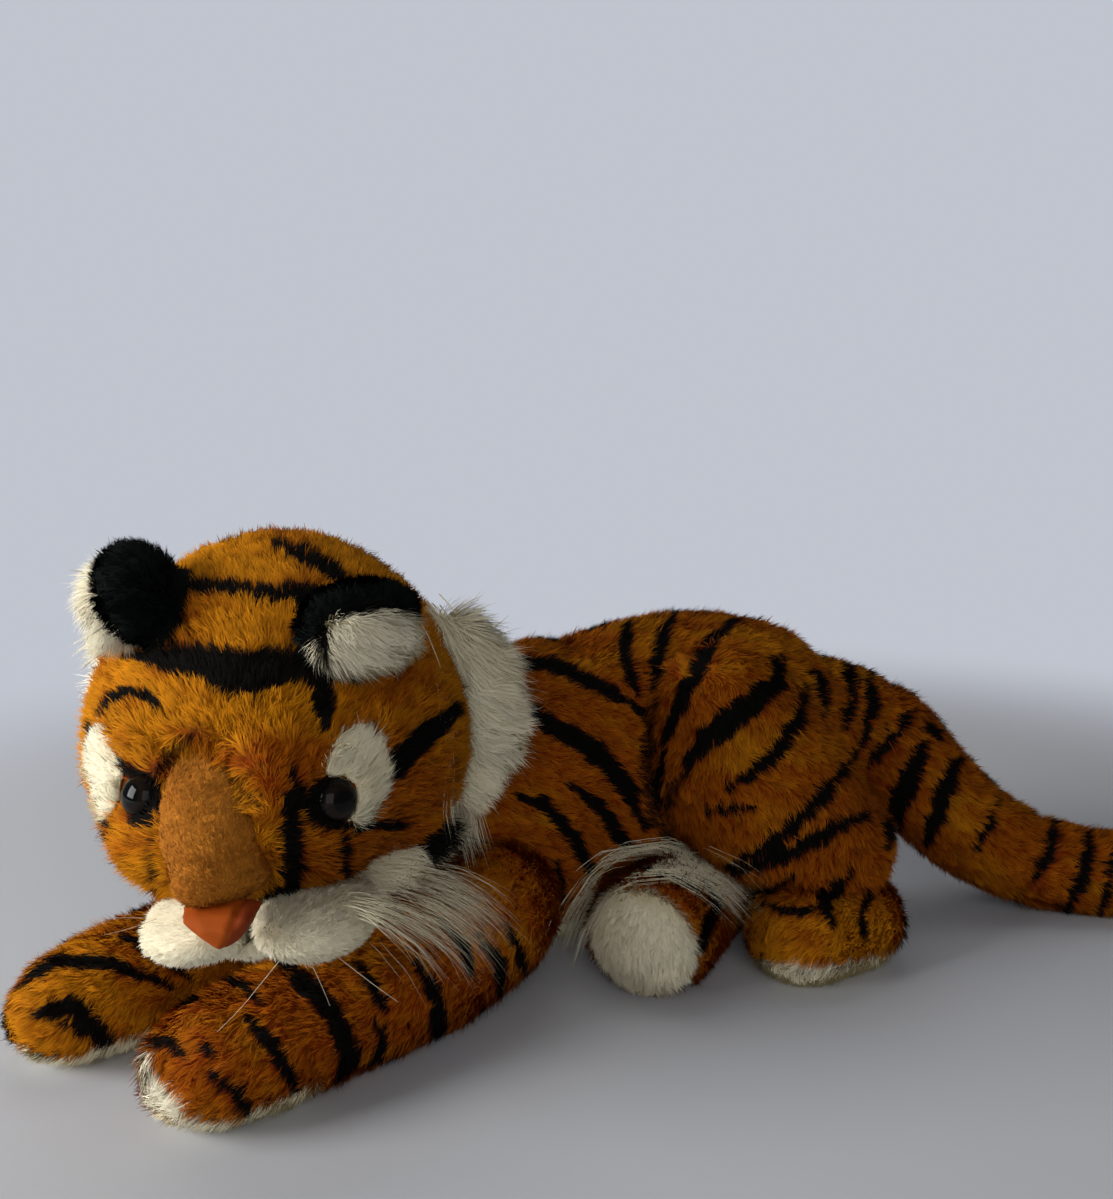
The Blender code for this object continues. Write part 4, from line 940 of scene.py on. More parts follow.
def fibre_mesh(name: str, spine: np.ndarray, side: np.ndarray, half: np.ndarray) -> bpy.types.Mesh:
    """Make flat tapered fibres along given lines.

    Args:
        name: Name of the mesh.
        spine: Points along each fibre, from the root to the tip.
        side: The way across each fibre.
        half: Half of the width at each point but the tip.

    Returns:
        The mesh, with a cell of its picture for each fibre.
    """
    count, rows, _ = spine.shape
    ahead = np.diff(spine, axis=1)
    ahead /= np.maximum(np.linalg.norm(ahead, axis=2, keepdims=True), 1e-9)
    across = side[:, None, :] - ahead * np.sum(side[:, None, :] * ahead, axis=2, keepdims=True)
    across /= np.maximum(np.linalg.norm(across, axis=2, keepdims=True), 1e-6)
    across *= half[:, :, None]
    pairs = np.stack([spine[:, :-1] - across, spine[:, :-1] + across], axis=2)
    points = np.concatenate([pairs.reshape(count, -1, 3), spine[:, -1:]], axis=1)
    points[:, :, 2] = np.maximum(points[:, :, 2], FLOOR_GAP)
    per = points.shape[1]
    pattern = []
    for i in range(0, per - 3, 2):
        pattern += [i, i + 1, i + 3, i + 2]
    pattern += [per - 3, per - 2, per - 1]
    lengths = np.array([4] * (rows - 2) + [3])
    corners = ((np.arange(count) * per)[:, None] + np.array(pattern)).ravel()
    starts = np.concatenate([[0], np.cumsum(np.tile(lengths, count))[:-1]])
    mesh = new_mesh(name, points.reshape(-1, 3), corners, starts)
    mesh.shade_smooth()
    shares = np.append(np.repeat(np.arange(rows - 1), 2), rows - 1) / (rows - 1)
    set_values(mesh, "along", np.tile(shares, count))
    grid = int(math.ceil(math.sqrt(count)))
    column, row = np.arange(count) % grid, np.arange(count) // grid
    aside = np.array([0.1, 0.9] * (rows - 1) + [0.5])
    spots = np.stack(
        [(column[:, None] + aside) / grid, (row[:, None] + 0.1 + 0.8 * shares) / grid], axis=2
    )
    layer = mesh.uv_layers.new(name="OFBake")
    layer.data.foreach_set("uv", spots.reshape(-1, 2)[corners].astype(np.float32).ravel())
    return mesh


@dataclass
class Strands:
    """The roots of a fleece's fibres and how each one grows, one row for each fibre."""

    root: np.ndarray
    out: np.ndarray
    lay: np.ndarray
    sway: np.ndarray
    pull: np.ndarray
    tone: np.ndarray

    def take(self, chosen: np.ndarray) -> "Strands":
        """Keep only the chosen fibres."""
        return Strands(*(values[chosen] for values in vars(self).values()))


class Fleece:
    """The fibres that stand on one hide."""

    SUNK = 0.0004
    MOST = 190000
    CLOSE = 0.0015
    LAPS = (0.0015, 0.0035, 0.0055)
    DEPTHS = (0.0, 0.0015, 0.0030)
    TURN = 0.22
    CURL = 0.26
    STRAY_LENGTH = 1.15
    STRAY_RISE = 22.0
    EYE_CLEAR = 0.80

    def __init__(self, hide: Hide, solids: Solids, seed: int) -> None:
        """Keep the hide, its neighbours and the start of the random numbers.

        Args:
            hide: The skin that the fibres stand on.
            solids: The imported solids.
            seed: Start of the random numbers.
        """
        self.hide = hide
        self.solids = solids
        self.rng = np.random.default_rng(seed)

    def roots(self) -> tuple[np.ndarray, np.ndarray]:
        """Spread fibre roots over the part of the hide that shows.

        Returns:
            Places and outward directions of the roots.
        """
        hide, form = self.hide, self.hide.form
        tris = hide.triangles()
        corners = hide.points[tris]
        sides = np.cross(corners[:, 1] - corners[:, 0], corners[:, 2] - corners[:, 0])
        areas = np.linalg.norm(sides, axis=1) / 2
        centres = corners.mean(axis=1)
        outward = sides / np.maximum(areas[:, None] * 2, 1e-12)
        others = tuple(name for name in self.solids.trees if name != form.node)
        hidden = self.solids.covered(others, centres + outward * self.CLOSE)
        hidden |= self.solids.covered(others, centres)
        hidden |= (centres[:, 2] < 0.002) & (outward[:, 2] < -0.6)
        if form.below:
            lay = self.combed(centres, outward)
            for reach in self.LAPS:
                hidden |= self.solids.covered(form.below, centres + outward * 0.001 + lay * reach)
        areas = np.where(hidden, 0.0, areas)
        count = int(areas.sum() * form.pile.density)
        picked = self.rng.choice(len(tris), count, p=areas / areas.sum())
        first, second = self.rng.random(count), self.rng.random(count)
        over = first + second > 1
        first[over], second[over] = 1 - first[over], 1 - second[over]
        weights = np.stack([1 - first - second, first, second], axis=1)[:, :, None]
        places = (corners[picked] * weights).sum(axis=1)
        ways = (hide.normals[tris[picked]] * weights).sum(axis=1)
        ways /= np.linalg.norm(ways, axis=1, keepdims=True)
        order = np.lexsort(tuple(np.floor(places[:, i] / 0.006).astype(int) for i in range(3)))
        return places[order], ways[order]

    def combed(self, places: np.ndarray, ways: np.ndarray) -> np.ndarray:
        """Direction along the surface in which the pile lies.

        Args:
            places: Fibre roots.
            ways: Outward directions there.

        Returns:
            Unit directions along the surface.
        """
        form = self.hide.form
        if form.flow is Flow.FROM_NOSE:
            low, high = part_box("nose")
            away = places - np.array((low + high) / 2)
            lay = away / np.linalg.norm(away, axis=1, keepdims=True) + np.array((0.0, 0.0, -0.12))
        elif form.flow is Flow.FROM_JOINT:
            joint = next(item for item in frame["joints"] if item["child"] == self.hide.body)
            away = places - np.array(joint["pos_m"])
            lay = away / np.linalg.norm(away, axis=1, keepdims=True)
        else:
            lay = np.tile(np.array(form.comb), (len(places), 1))
        if form.node == "head":
            lay = self.overhang(places, lay)
        turn = np.stack([drift(places, 0.045, seed) for seed in (21, 22, 23)], axis=1)
        curl = np.stack([drift(places, 0.014, seed) for seed in (24, 25, 26)], axis=1)
        lay = lay + self.TURN * turn + self.CURL * curl
        lay -= ways * np.sum(lay * ways, axis=1, keepdims=True)
        return lay / np.maximum(np.linalg.norm(lay, axis=1, keepdims=True), 1e-6)

    def overhang(self, places: np.ndarray, lay: np.ndarray) -> np.ndarray:
        """Turn the pile round the top of the nose bridge down over its edge.

        Args:
            places: Fibre roots.
            lay: The way in which the pile would lie without it.

        Returns:
            The changed directions.
        """
        low, high = (np.array(corner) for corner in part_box("nose_bridge"))
        share = ramp(places[:, 2], low[2] + 0.45 * (high[2] - low[2]), low[2] + 0.80 * (high[2] - low[2]))
        near = np.all((places > low - 0.012) & (places < high + 0.012), axis=1) & (share > 0)
        tree = self.solids.trees["nose_bridge"]
        gap = np.full(len(places), 1.0)
        for i in np.flatnonzero(near):
            gap[i] = tree.find_nearest(Vector(places[i]))[3]
        share = (share * (1.0 - ramp(gap, 0.002, 0.010)))[:, None]
        inward = (low + high) / 2 - places
        inward /= np.linalg.norm(inward, axis=1, keepdims=True)
        return lay * (1.0 - share) + inward * 1.3 * share

    def strands(self) -> Strands:
        """Gather the fibres into tufts that sway together.

        Returns:
            The fibres, with the way to their tuft's middle and its tone.
        """
        places, ways = self.roots()
        size = self.hide.form.pile.clump
        wobble = np.stack([drift(places, size * 2.3, seed) for seed in (31, 32, 33)], axis=1)
        cells = np.floor(places / size + 0.6 * wobble).astype(np.int64)
        keys = (cells * np.array((73856093, 19349663, 83492791))).sum(axis=1)
        _, group = np.unique(keys, return_inverse=True)
        group = group.ravel()
        totals = np.stack([np.bincount(group, places[:, i]) for i in range(3)], axis=1)
        middles = totals / np.bincount(group)[:, None]
        pull = middles[group] - places
        pull -= ways * np.sum(pull * ways, axis=1, keepdims=True)
        sways = self.rng.normal(size=(len(middles), 3))
        tones = self.rng.uniform(-1, 1, len(middles))
        return Strands(places, ways, self.combed(places, ways), sways[group], pull, tones[group])

    def spine(self, strands: Strands) -> np.ndarray:
        """Points along each fibre.

        Args:
            strands: The fibres.

        Returns:
            Places from the root to the tip, one row of points for each fibre.
        """
        pile = self.hide.form.pile
        count = len(strands.root)
        length = pile.length * (1 - pile.uneven * self.rng.random(count) ** 1.5)
        stray = self.rng.random(count) < pile.stray
        length = length * np.where(stray, self.STRAY_LENGTH, 1.0)
        jitter = self.rng.normal(size=(count, 3)) * pile.scatter
        rows = [strands.root - strands.out * self.SUNK]
        for i in range(pile.segments):
            share = (i + 0.5) / pile.segments
            lean = np.radians(pile.lean + pile.droop * share - self.STRAY_RISE * stray)[:, None]
            way = strands.out * np.cos(lean) + strands.lay * np.sin(lean)
            way = way + jitter + strands.sway * pile.sway * share
            way /= np.linalg.norm(way, axis=1, keepdims=True)
            rows.append(rows[-1] + way * (length / pile.segments)[:, None])
        rise = np.linspace(0.0, 1.0, pile.segments + 1) ** 1.5
        return np.stack(rows, axis=1) + strands.pull[:, None, :] * pile.pull * rise[None, :, None]

    def build(self) -> None:
        """Grow the fibres, and make a few objects of them where they are many."""
        strands = self.strands()
        spine = self.spine(strands)
        if self.hide.body == "skull":
            clear = np.ones(len(spine), bool)
            for eye in EYES:
                reach, height = eye.apart(spine)
                clear &= ~((reach < self.EYE_CLEAR * eye.RADIUS) & (height > -0.001)).any(axis=1)
            strands, spine = strands.take(clear), spine[clear]
        if self.hide.form.below:
            clear = ~self.over(self.hide.form.below, strands, spine)
            strands, spine = strands.take(clear), spine[clear]
        segments = self.hide.form.pile.segments
        parts = math.ceil(len(spine) * (2 * segments - 1) / self.MOST)
        for number, chosen in enumerate(np.array_split(np.arange(len(spine)), parts)):
            self.piece(f"{self.hide.form.node}_fleece_{number}", strands.take(chosen), spine[chosen])

    def over(self, names: tuple[str, ...], strands: Strands, spine: np.ndarray) -> np.ndarray:
        """Tell which fibres lie with their tips on other forms.

        Args:
            names: The forms.
            strands: The fibres.
            spine: The points along them.

        Returns:
            True for each fibre that does.
        """
        found = np.zeros(len(spine), bool)
        for row in (spine[:, -1], (spine[:, -1] + spine[:, -2]) / 2):
            for depth in self.DEPTHS:
                found |= self.solids.covered(names, row - strands.out * depth)
        return found

    def piece(self, name: str, strands: Strands, spine: np.ndarray) -> None:
        """Make one object of fibres.

        Args:
            name: Name of the object.
            strands: Its fibres.
            spine: The points along them.
        """
        form, pile = self.hide.form, self.hide.form.pile
        count, rows, _ = spine.shape
        spin = self.rng.normal(size=count)[:, None] * 0.5
        side = np.cross(strands.lay, strands.out) * np.cos(spin) + strands.out * np.sin(spin)
        taper = 1 - 0.75 * (np.arange(rows - 1) / (rows - 1)) ** 1.5
        half = pile.width / 2 * taper * (0.8 + 0.4 * self.rng.random((count, rows - 1)))
        mesh = fibre_mesh(name, spine, side, half)
        per = 2 * rows - 1
        middle = strands.root + 0.6 * (spine[:, -1] - strands.root)
        dark = self.hide.paint.dark(middle, strands.out) + 0.10 * self.rng.normal(size=count)
        set_values(mesh, "dark", np.repeat(ramp(dark, 0.25, 0.75), per))
        set_values(mesh, "deep", np.repeat(self.hide.paint.deep(middle), per))
        set_values(mesh, "pale", np.repeat(self.hide.paint.pale(middle, strands.out), per))
        tint = 0.55 * strands.tone + 0.45 * self.rng.uniform(-1, 1, count)
        set_values(mesh, "tint", np.repeat(tint, per))
        tip = spine[:, -1] - spine[:, 0]
        tip /= np.linalg.norm(tip, axis=1, keepdims=True)
        soft = strands.out * 0.65 + tip * 0.30 + strands.sway * 0.12
        soft /= np.linalg.norm(soft, axis=1, keepdims=True)
        mesh.normals_split_custom_set_from_vertices(np.repeat(soft, per, axis=0).astype(np.float32))
        mesh.materials.append(FINISHES[form.finish].material("pile"))
        made = link(name, mesh)
        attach(made, self.hide.body)
        report(name, count, "fibres")


@dataclass(frozen=True)
class Lock:
    """A lock of long hair, by its middle line in the photograph's pixels."""

    name: str
    body: str
    line: tuple[tuple[float, float], ...]
    count: int
    root: float
    tip: float
    stand: float
    width: float = 0.00034

    ROWS = 8
    LATEST_START = 0.35
    EARLIEST_END = 0.45
    ACROSS = np.array((0.2, -0.2, 0.9))
    FACING = np.array((-0.25, -0.62, 0.74))

    def build(self, solids: Solids, seed: int) -> None:
        """Lay the hairs of the lock over the forms below it.

        Args:
            solids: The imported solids, whose surfaces the hairs follow.
            seed: Start of the random numbers.
        """
        rng = np.random.default_rng(seed)
        line = np.array(self.line, float)
        legs = np.linalg.norm(np.diff(line, axis=0), axis=1)
        marks = np.concatenate([[0.0], np.cumsum(legs)]) / legs.sum()
        start = rng.uniform(0.0, self.LATEST_START, self.count)
        end = 1.0 - self.EARLIEST_END * rng.random(self.count) ** 1.6
        shares = start[:, None] + (end - start)[:, None] * np.linspace(0, 1, self.ROWS)
        middle = np.stack([np.interp(shares, marks, line[:, i]) for i in range(2)], axis=2)
        aside = rng.normal(size=(self.count, 1, 2)) * 0.5
        spread = self.root + (self.tip - self.root) * shares
        wave = np.sin(shares * 5.0 + rng.uniform(0, 6.3, (self.count, 1)))[:, :, None] * (1.2, -0.8)
        pixels = middle + aside * spread[:, :, None] + wave
        spine = np.array([self.laid(solids, row, lift) for row, lift in zip(pixels, rng.random(self.count))])
        side = np.tile(self.ACROSS, (self.count, 1)) + 0.3 * rng.normal(size=(self.count, 3))
        taper = 1 - 0.8 * np.linspace(0, 1, self.ROWS - 1) ** 1.5
        half = self.width / 2 * taper * (0.7 + 0.6 * rng.random((self.count, 1)))
        facing = self.FACING + 0.12 * rng.normal(size=(self.count, 3))
        facing /= np.linalg.norm(facing, axis=1, keepdims=True)
        front = np.sum(np.cross(side, spine[:, -1] - spine[:, 0]) * facing, axis=1, keepdims=True)
        mesh = fibre_mesh(self.name, spine, np.where(front < 0, -side, side), half)
        per = 2 * self.ROWS - 1
        mesh.normals_split_custom_set_from_vertices(np.repeat(facing, per, axis=0).astype(np.float32))
        spans = (("dark", 0.0, 0.0), ("pale", 0.0, 0.0), ("deep", 0.0, 1.0), ("tint", -1.0, 1.0))
        for label, low, high in spans:
            set_values(mesh, label, np.repeat(rng.uniform(low, high, self.count), per))
        mesh.materials.append(FINISHES["white"].material("pile"))
        made = link(self.name, mesh)
        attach(made, self.body)
        report(self.name, self.count, "hairs")

    def laid(self, solids: Solids, pixels: np.ndarray, lift: float) -> np.ndarray:
        """Places of one hair over the surfaces behind its pixels.

        Args:
            solids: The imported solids.
            pixels: Where the hair runs in the photograph.
            lift: How high the hair stands, from 0 to 1.

        Returns:
            Places in metres, from the root to the tip.
        """
        origin = Vector(VIEW.place)
        rows = []
        depth = None
        for i, pixel in enumerate(pixels):
            way = VIEW.ray(pixel).normalized()
            _, _, _, found = solids.whole.ray_cast(origin, way)
            stand = self.stand * (0.3 + lift) * min(1.0, 0.25 + i / 3)
            if depth is None:
                depth = (found or 0.5) - 0.0008
            else:
                step = float(np.linalg.norm(pixels[i] - pixels[i - 1])) / VIEW.focal * depth
                depth = min(depth + 0.7 * step, (found or 9.0) - stand)
            rows.append(origin + way * depth)
        return np.array(rows)


LOCKS: tuple[Lock, ...] = (
    Lock(
        "beard_upper",
        "skull",
        ((376, 884), (412, 876), (450, 886), (482, 906), (508, 934)),
        count=170, root=16, tip=26, stand=0.008, width=0.00022,
    ),
    Lock(
        "beard_middle",
        "skull",
        ((364, 892), (400, 892), (440, 906), (470, 928), (494, 962)),
        count=170, root=16, tip=40, stand=0.008, width=0.00022,
    ),
    Lock(
        "beard_lower",
        "skull",
        ((350, 902), (386, 910), (424, 930), (452, 962)),
        count=120, root=12, tip=42, stand=0.008, width=0.00022,
    ),
    Lock(
        "ruff_top",
        "skull",
        ((426, 614), (446, 640), (459, 676), (464, 714)),
        count=460, root=14, tip=16, stand=0.008, width=0.0005,
    ),
    Lock(
        "ruff_middle",
        "skull",
        ((450, 664), (462, 706), (467, 748), (464, 792)),
        count=420, root=12, tip=16, stand=0.007, width=0.0005,
    ),
    Lock(
        "ruff_low",
        "skull",
        ((462, 734), (465, 778), (464, 816), (474, 856)),
        count=380, root=12, tip=18, stand=0.007, width=0.0005,
    ),
    Lock(
        "ear_fluff",
        "right_ear",
        ((112, 634), (98, 645), (84, 656)),
        count=160, root=14, tip=18, stand=0.006,
    ),
    Lock(
        "belly_fringe",
        "trunk",
        ((582, 898), (622, 864), (676, 858), (720, 880), (752, 914)),
        count=620, root=14, tip=20, stand=0.011, width=0.00032,
    ),
    Lock(
        "belly_edge",
        "trunk",
        ((632, 860), (600, 884), (578, 918), (564, 960)),
        count=300, root=14, tip=18, stand=0.010, width=0.00032,
    ),
)


def socket(group: bpy.types.NodeTree, name: str, into: bool, kind: str, value: object = None) -> None:
    """Add a named input or output to a shader group.

    Args:
        group: The shader group.
        name: Name of the socket.
        into: True for an input.
        kind: Type of the socket.
        value: What an input starts with.
    """
    made = group.interface.new_socket(name=name, in_out="INPUT" if into else "OUTPUT", socket_type=kind)
    if value is not None:
        made.default_value = value


class Nodes:
    """Short ways to place and join shader nodes in one tree."""

    NOISE_DETAIL = 3.0
    NOISE_ROUGH = 0.55

    def __init__(self, tree: bpy.types.NodeTree) -> None:
        """Keep the tree that the nodes go into."""
        self.tree = tree

    def add(self, kind: str, **settings: object) -> bpy.types.Node:
        """Add a node of a kind with some settings.

        Args:
            kind: The node's type.
            settings: Settings by name.

        Returns:
            The node.
        """
        node = self.tree.nodes.new(kind)
        for name, value in settings.items():
            setattr(node, name, value)
        return node

    def put(self, target: bpy.types.NodeSocket, source: object) -> None:
        """Join a socket to another one, or give it a plain value.

        Args:
            target: The socket that takes it.
            source: A socket, number or colour.
        """
        if isinstance(source, bpy.types.NodeSocket):
            self.tree.links.new(source, target)
        else:
            target.default_value = source

    def mix(self, share: object, first: object, second: object, blend: str = "MIX") -> bpy.types.NodeSocket:
        """Mix two colours.

        Args:
            share: How much of the second one.
            first: The first colour.
            second: The second colour.
            blend: How they mix.

        Returns:
            The result's socket.
        """
        node = self.add("ShaderNodeMix", data_type="RGBA", blend_type=blend)
        self.put(node.inputs[0], share)
        self.put(node.inputs[6], first)
        self.put(node.inputs[7], second)
        return node.outputs[2]

    def maths(
        self, operation: str, first: object, second: object, third: object = None
    ) -> bpy.types.NodeSocket:
        """Do one sum on two or three values.

        Args:
            operation: Name of the sum.
            first: First value.
            second: Second value.
            third: Third value, if any.

        Returns:
            The result's socket.
        """
        node = self.add("ShaderNodeMath", operation=operation)
        self.put(node.inputs[0], first)
        self.put(node.inputs[1], second)
        if third is not None:
            self.put(node.inputs[2], third)
        return node.outputs[0]

    def value_of(self, name: str) -> bpy.types.NodeSocket:
        """Read a number that is stored on the mesh."""
        return self.add("ShaderNodeAttribute", attribute_name=name).outputs["Fac"]

    def noise(self, cells: bpy.types.NodeSocket) -> bpy.types.NodeSocket:
        """Noise in the object's own space.

        Args:
            cells: The socket that gives the cells per metre.

        Returns:
            The noise value's socket.
        """
        node = self.add("ShaderNodeTexNoise")
        self.put(node.inputs["Vector"], self.add("ShaderNodeTexCoord").outputs["Object"])
        self.put(node.inputs["Scale"], cells)
        node.inputs["Detail"].default_value = self.NOISE_DETAIL
        node.inputs["Roughness"].default_value = self.NOISE_ROUGH
        return node.outputs["Fac"]

    def placed(self, group: bpy.types.NodeTree, values: dict[str, object]) -> bpy.types.Node:
        """Place a shader group with its own values.

        Args:
            group: The shader group.
            values: What its named inputs are set to.

        Returns:
            The group's node.
        """
        node = self.add("ShaderNodeGroup", node_tree=group)
        for label, value in values.items():
            node.inputs[label].default_value = value
        return node

    def two_tone(self, first: Colour, second: Colour, cells: float) -> bpy.types.NodeSocket:
        """Colour that drifts between two close tones.

        Args:
            first: The first tone.
            second: The second tone.
            cells: Patches per metre.

        Returns:
            The colour's socket.
        """
        values = {"First": (*first, 1.0), "Second": (*second, 1.0), "Cells": cells}
        return self.placed(tone_group(), values).outputs["Colour"]

    def grain(self, cells: float, strength: float, depth: float) -> bpy.types.NodeSocket:
        """Normal of a surface with a fine grain.

        Args:
            cells: Grains per metre.
            strength: How strongly the grain shades, from 0 to 1.
            depth: Height of the grain in metres.

        Returns:
            The normal's socket.
        """
        bump = self.add("ShaderNodeBump")
        bump.inputs["Strength"].default_value = strength
        bump.inputs["Distance"].default_value = depth
        self.put(bump.inputs["Height"], self.placed(grain_group(), {"Cells": cells}).outputs["Height"])
        return bump.outputs["Normal"]


def open_group(
    name: str,
    colours: tuple[str, ...],
    numbers: dict[str, float],
    gives: str,
    kind: str,
) -> tuple[Nodes, bpy.types.Node, bpy.types.NodeSocket]:
    """Start a shader group with named inputs and one named output.

    Args:
        name: Name of the group.
        colours: Names of its colour inputs.
        numbers: Its number inputs, and what they start with.
        gives: Name of its output.
        kind: Type of the output's socket.

    Returns:
        The group's nodes, its input node, and the socket that takes its result.
    """
    group = bpy.data.node_groups.new(name, "ShaderNodeTree")
    for label in colours:
        socket(group, label, True, "NodeSocketColor", (0.5, 0.5, 0.5, 1.0))
    for label, value in numbers.items():
        socket(group, label, True, "NodeSocketFloat", value)
    socket(group, gives, False, kind)
    nodes = Nodes(group)
    given = nodes.add("NodeGroupInput")
    return nodes, given, nodes.add("NodeGroupOutput").inputs[gives]


@cache
def tone_group() -> bpy.types.NodeTree:
    """Shader group for two close tones in soft patches.

    Returns:
        The group, which is built on the first call.
    """
    nodes, given, result = open_group(
        "two_tone", ("First", "Second"), {"Cells": 100.0}, "Colour", "NodeSocketColor"
    )
    share = nodes.noise(given.outputs["Cells"])
    nodes.put(result, nodes.mix(share, given.outputs["First"], given.outputs["Second"]))
    return nodes.tree


@cache
def grain_group() -> bpy.types.NodeTree:
    """Shader group for the height of a fine grain.

    Returns:
        The group, which is built on the first call.
    """
    nodes, given, result = open_group("fine_grain", (), {"Cells": 900.0}, "Height", "NodeSocketFloat")
    nodes.put(result, nodes.noise(given.outputs["Cells"]))
    return nodes.tree


@cache
def pile_group() -> bpy.types.NodeTree:
    """Shader group for dyed pile: marking, deeper tone, tuft tone, and painted shade at the roots.

    Returns:
        The group, which is built on the first call.
    """
    dyes = ("Ground", "Deep", "Marking", "Sole")
    shades = {"Root Shade": 0.6, "Tuft Tone": 0.2}
    nodes, given, result = open_group("dyed_pile", dyes, shades, "Colour", "NodeSocketColor")
    # Painted shade: towards the roots the pile takes more of the deeper tone and grows darker, as the pile's depth
    # would shade it.
    root = nodes.maths("SUBTRACT", 1.0, nodes.value_of("along"))
    depth = nodes.maths("MULTIPLY", nodes.value_of("deep"), 0.55)
    depth = nodes.maths("MULTIPLY_ADD", root, 0.55, depth)
    ground = nodes.mix(depth, given.outputs["Ground"], given.outputs["Deep"])
    dyed = nodes.mix(nodes.value_of("dark"), ground, given.outputs["Marking"])
    dyed = nodes.mix(nodes.value_of("pale"), dyed, given.outputs["Sole"])
    tone = nodes.maths("MULTIPLY", nodes.value_of("tint"), given.outputs["Tuft Tone"])
    shade = nodes.maths("MULTIPLY", root, given.outputs["Root Shade"])
    level = nodes.maths("SUBTRACT", nodes.maths("ADD", 1.0, tone), shade)
    grey = nodes.add("ShaderNodeCombineColor")
    for i in range(3):
        nodes.put(grey.inputs[i], level)
    nodes.put(result, nodes.mix(1.0, dyed, grey.outputs[0], "MULTIPLY"))
    return nodes.tree


def new_material(name: str, rough: float) -> tuple[bpy.types.Material, Nodes, bpy.types.Node]:
    """Start a material.

    Args:
        name: Name of the material.
        rough: How rough it is, from 0 to 1.

    Returns:
        The material, its nodes and its shader.
    """
    made = bpy.data.materials.new(name)
    made.use_nodes = True
    shader = made.node_tree.nodes["Principled BSDF"]
    shader.inputs["Roughness"].default_value = rough
    return made, Nodes(made.node_tree), shader


@dataclass(frozen=True)
class PileFinish:
    """A dyed pile cloth: its colours and how far tone varies from tuft to tuft."""

    name: str
    ground: Colour
    deep: Colour
    marking: Colour = (0.006, 0.005, 0.004)
    sole: Colour = (0.94, 0.86, 0.64)
    root_shade: float = 0.42
    tuft_tone: float = 0.20
    roughness: float = 0.80
    shine: float = 0.05
    grains: float = 900.0
    grain_strength: float = 0.6
    grain_depth: float = 0.0008
    made: dict[str, bpy.types.Material] = field(default_factory=dict)

    def material(self, use: str) -> bpy.types.Material:
        """Give the material for the fibres or for the cloth under them.

        Args:
            use: Either pile or hide.

        Returns:
            The material, made once for each use.
        """
        if use in self.made:
            return self.made[use]
        made, nodes, shader = new_material(f"{self.name}_{use}", self.roughness)
        dyes = {"Ground": self.ground, "Deep": self.deep, "Marking": self.marking, "Sole": self.sole}
        values = {label: (*colour, 1.0) for label, colour in dyes.items()}
        values |= {"Root Shade": self.root_shade, "Tuft Tone": self.tuft_tone}
        nodes.put(shader.inputs["Base Color"], nodes.placed(pile_group(), values).outputs["Colour"])
        shader.inputs["Specular IOR Level"].default_value = self.shine
        if use == "hide":
            normal = nodes.grain(self.grains, self.grain_strength, self.grain_depth)
            nodes.put(shader.inputs["Normal"], normal)
        self.made[use] = made
        return made


FINISHES: dict[str, PileFinish] = {
    "coat": PileFinish("coat", (0.70, 0.265, 0.006), (0.31, 0.040, 0.002), root_shade=0.40, tuft_tone=0.26),
    "black": PileFinish("black", (0.006, 0.008, 0.007), (0.004, 0.006, 0.005), tuft_tone=0.5),
    "white": PileFinish("white", (0.96, 0.885, 0.67), (0.89, 0.78, 0.51), root_shade=0.12, tuft_tone=0.05),
    "tan": PileFinish("tan", (0.62, 0.228, 0.026), (0.35, 0.100, 0.010), root_shade=0.36, tuft_tone=0.32),
}


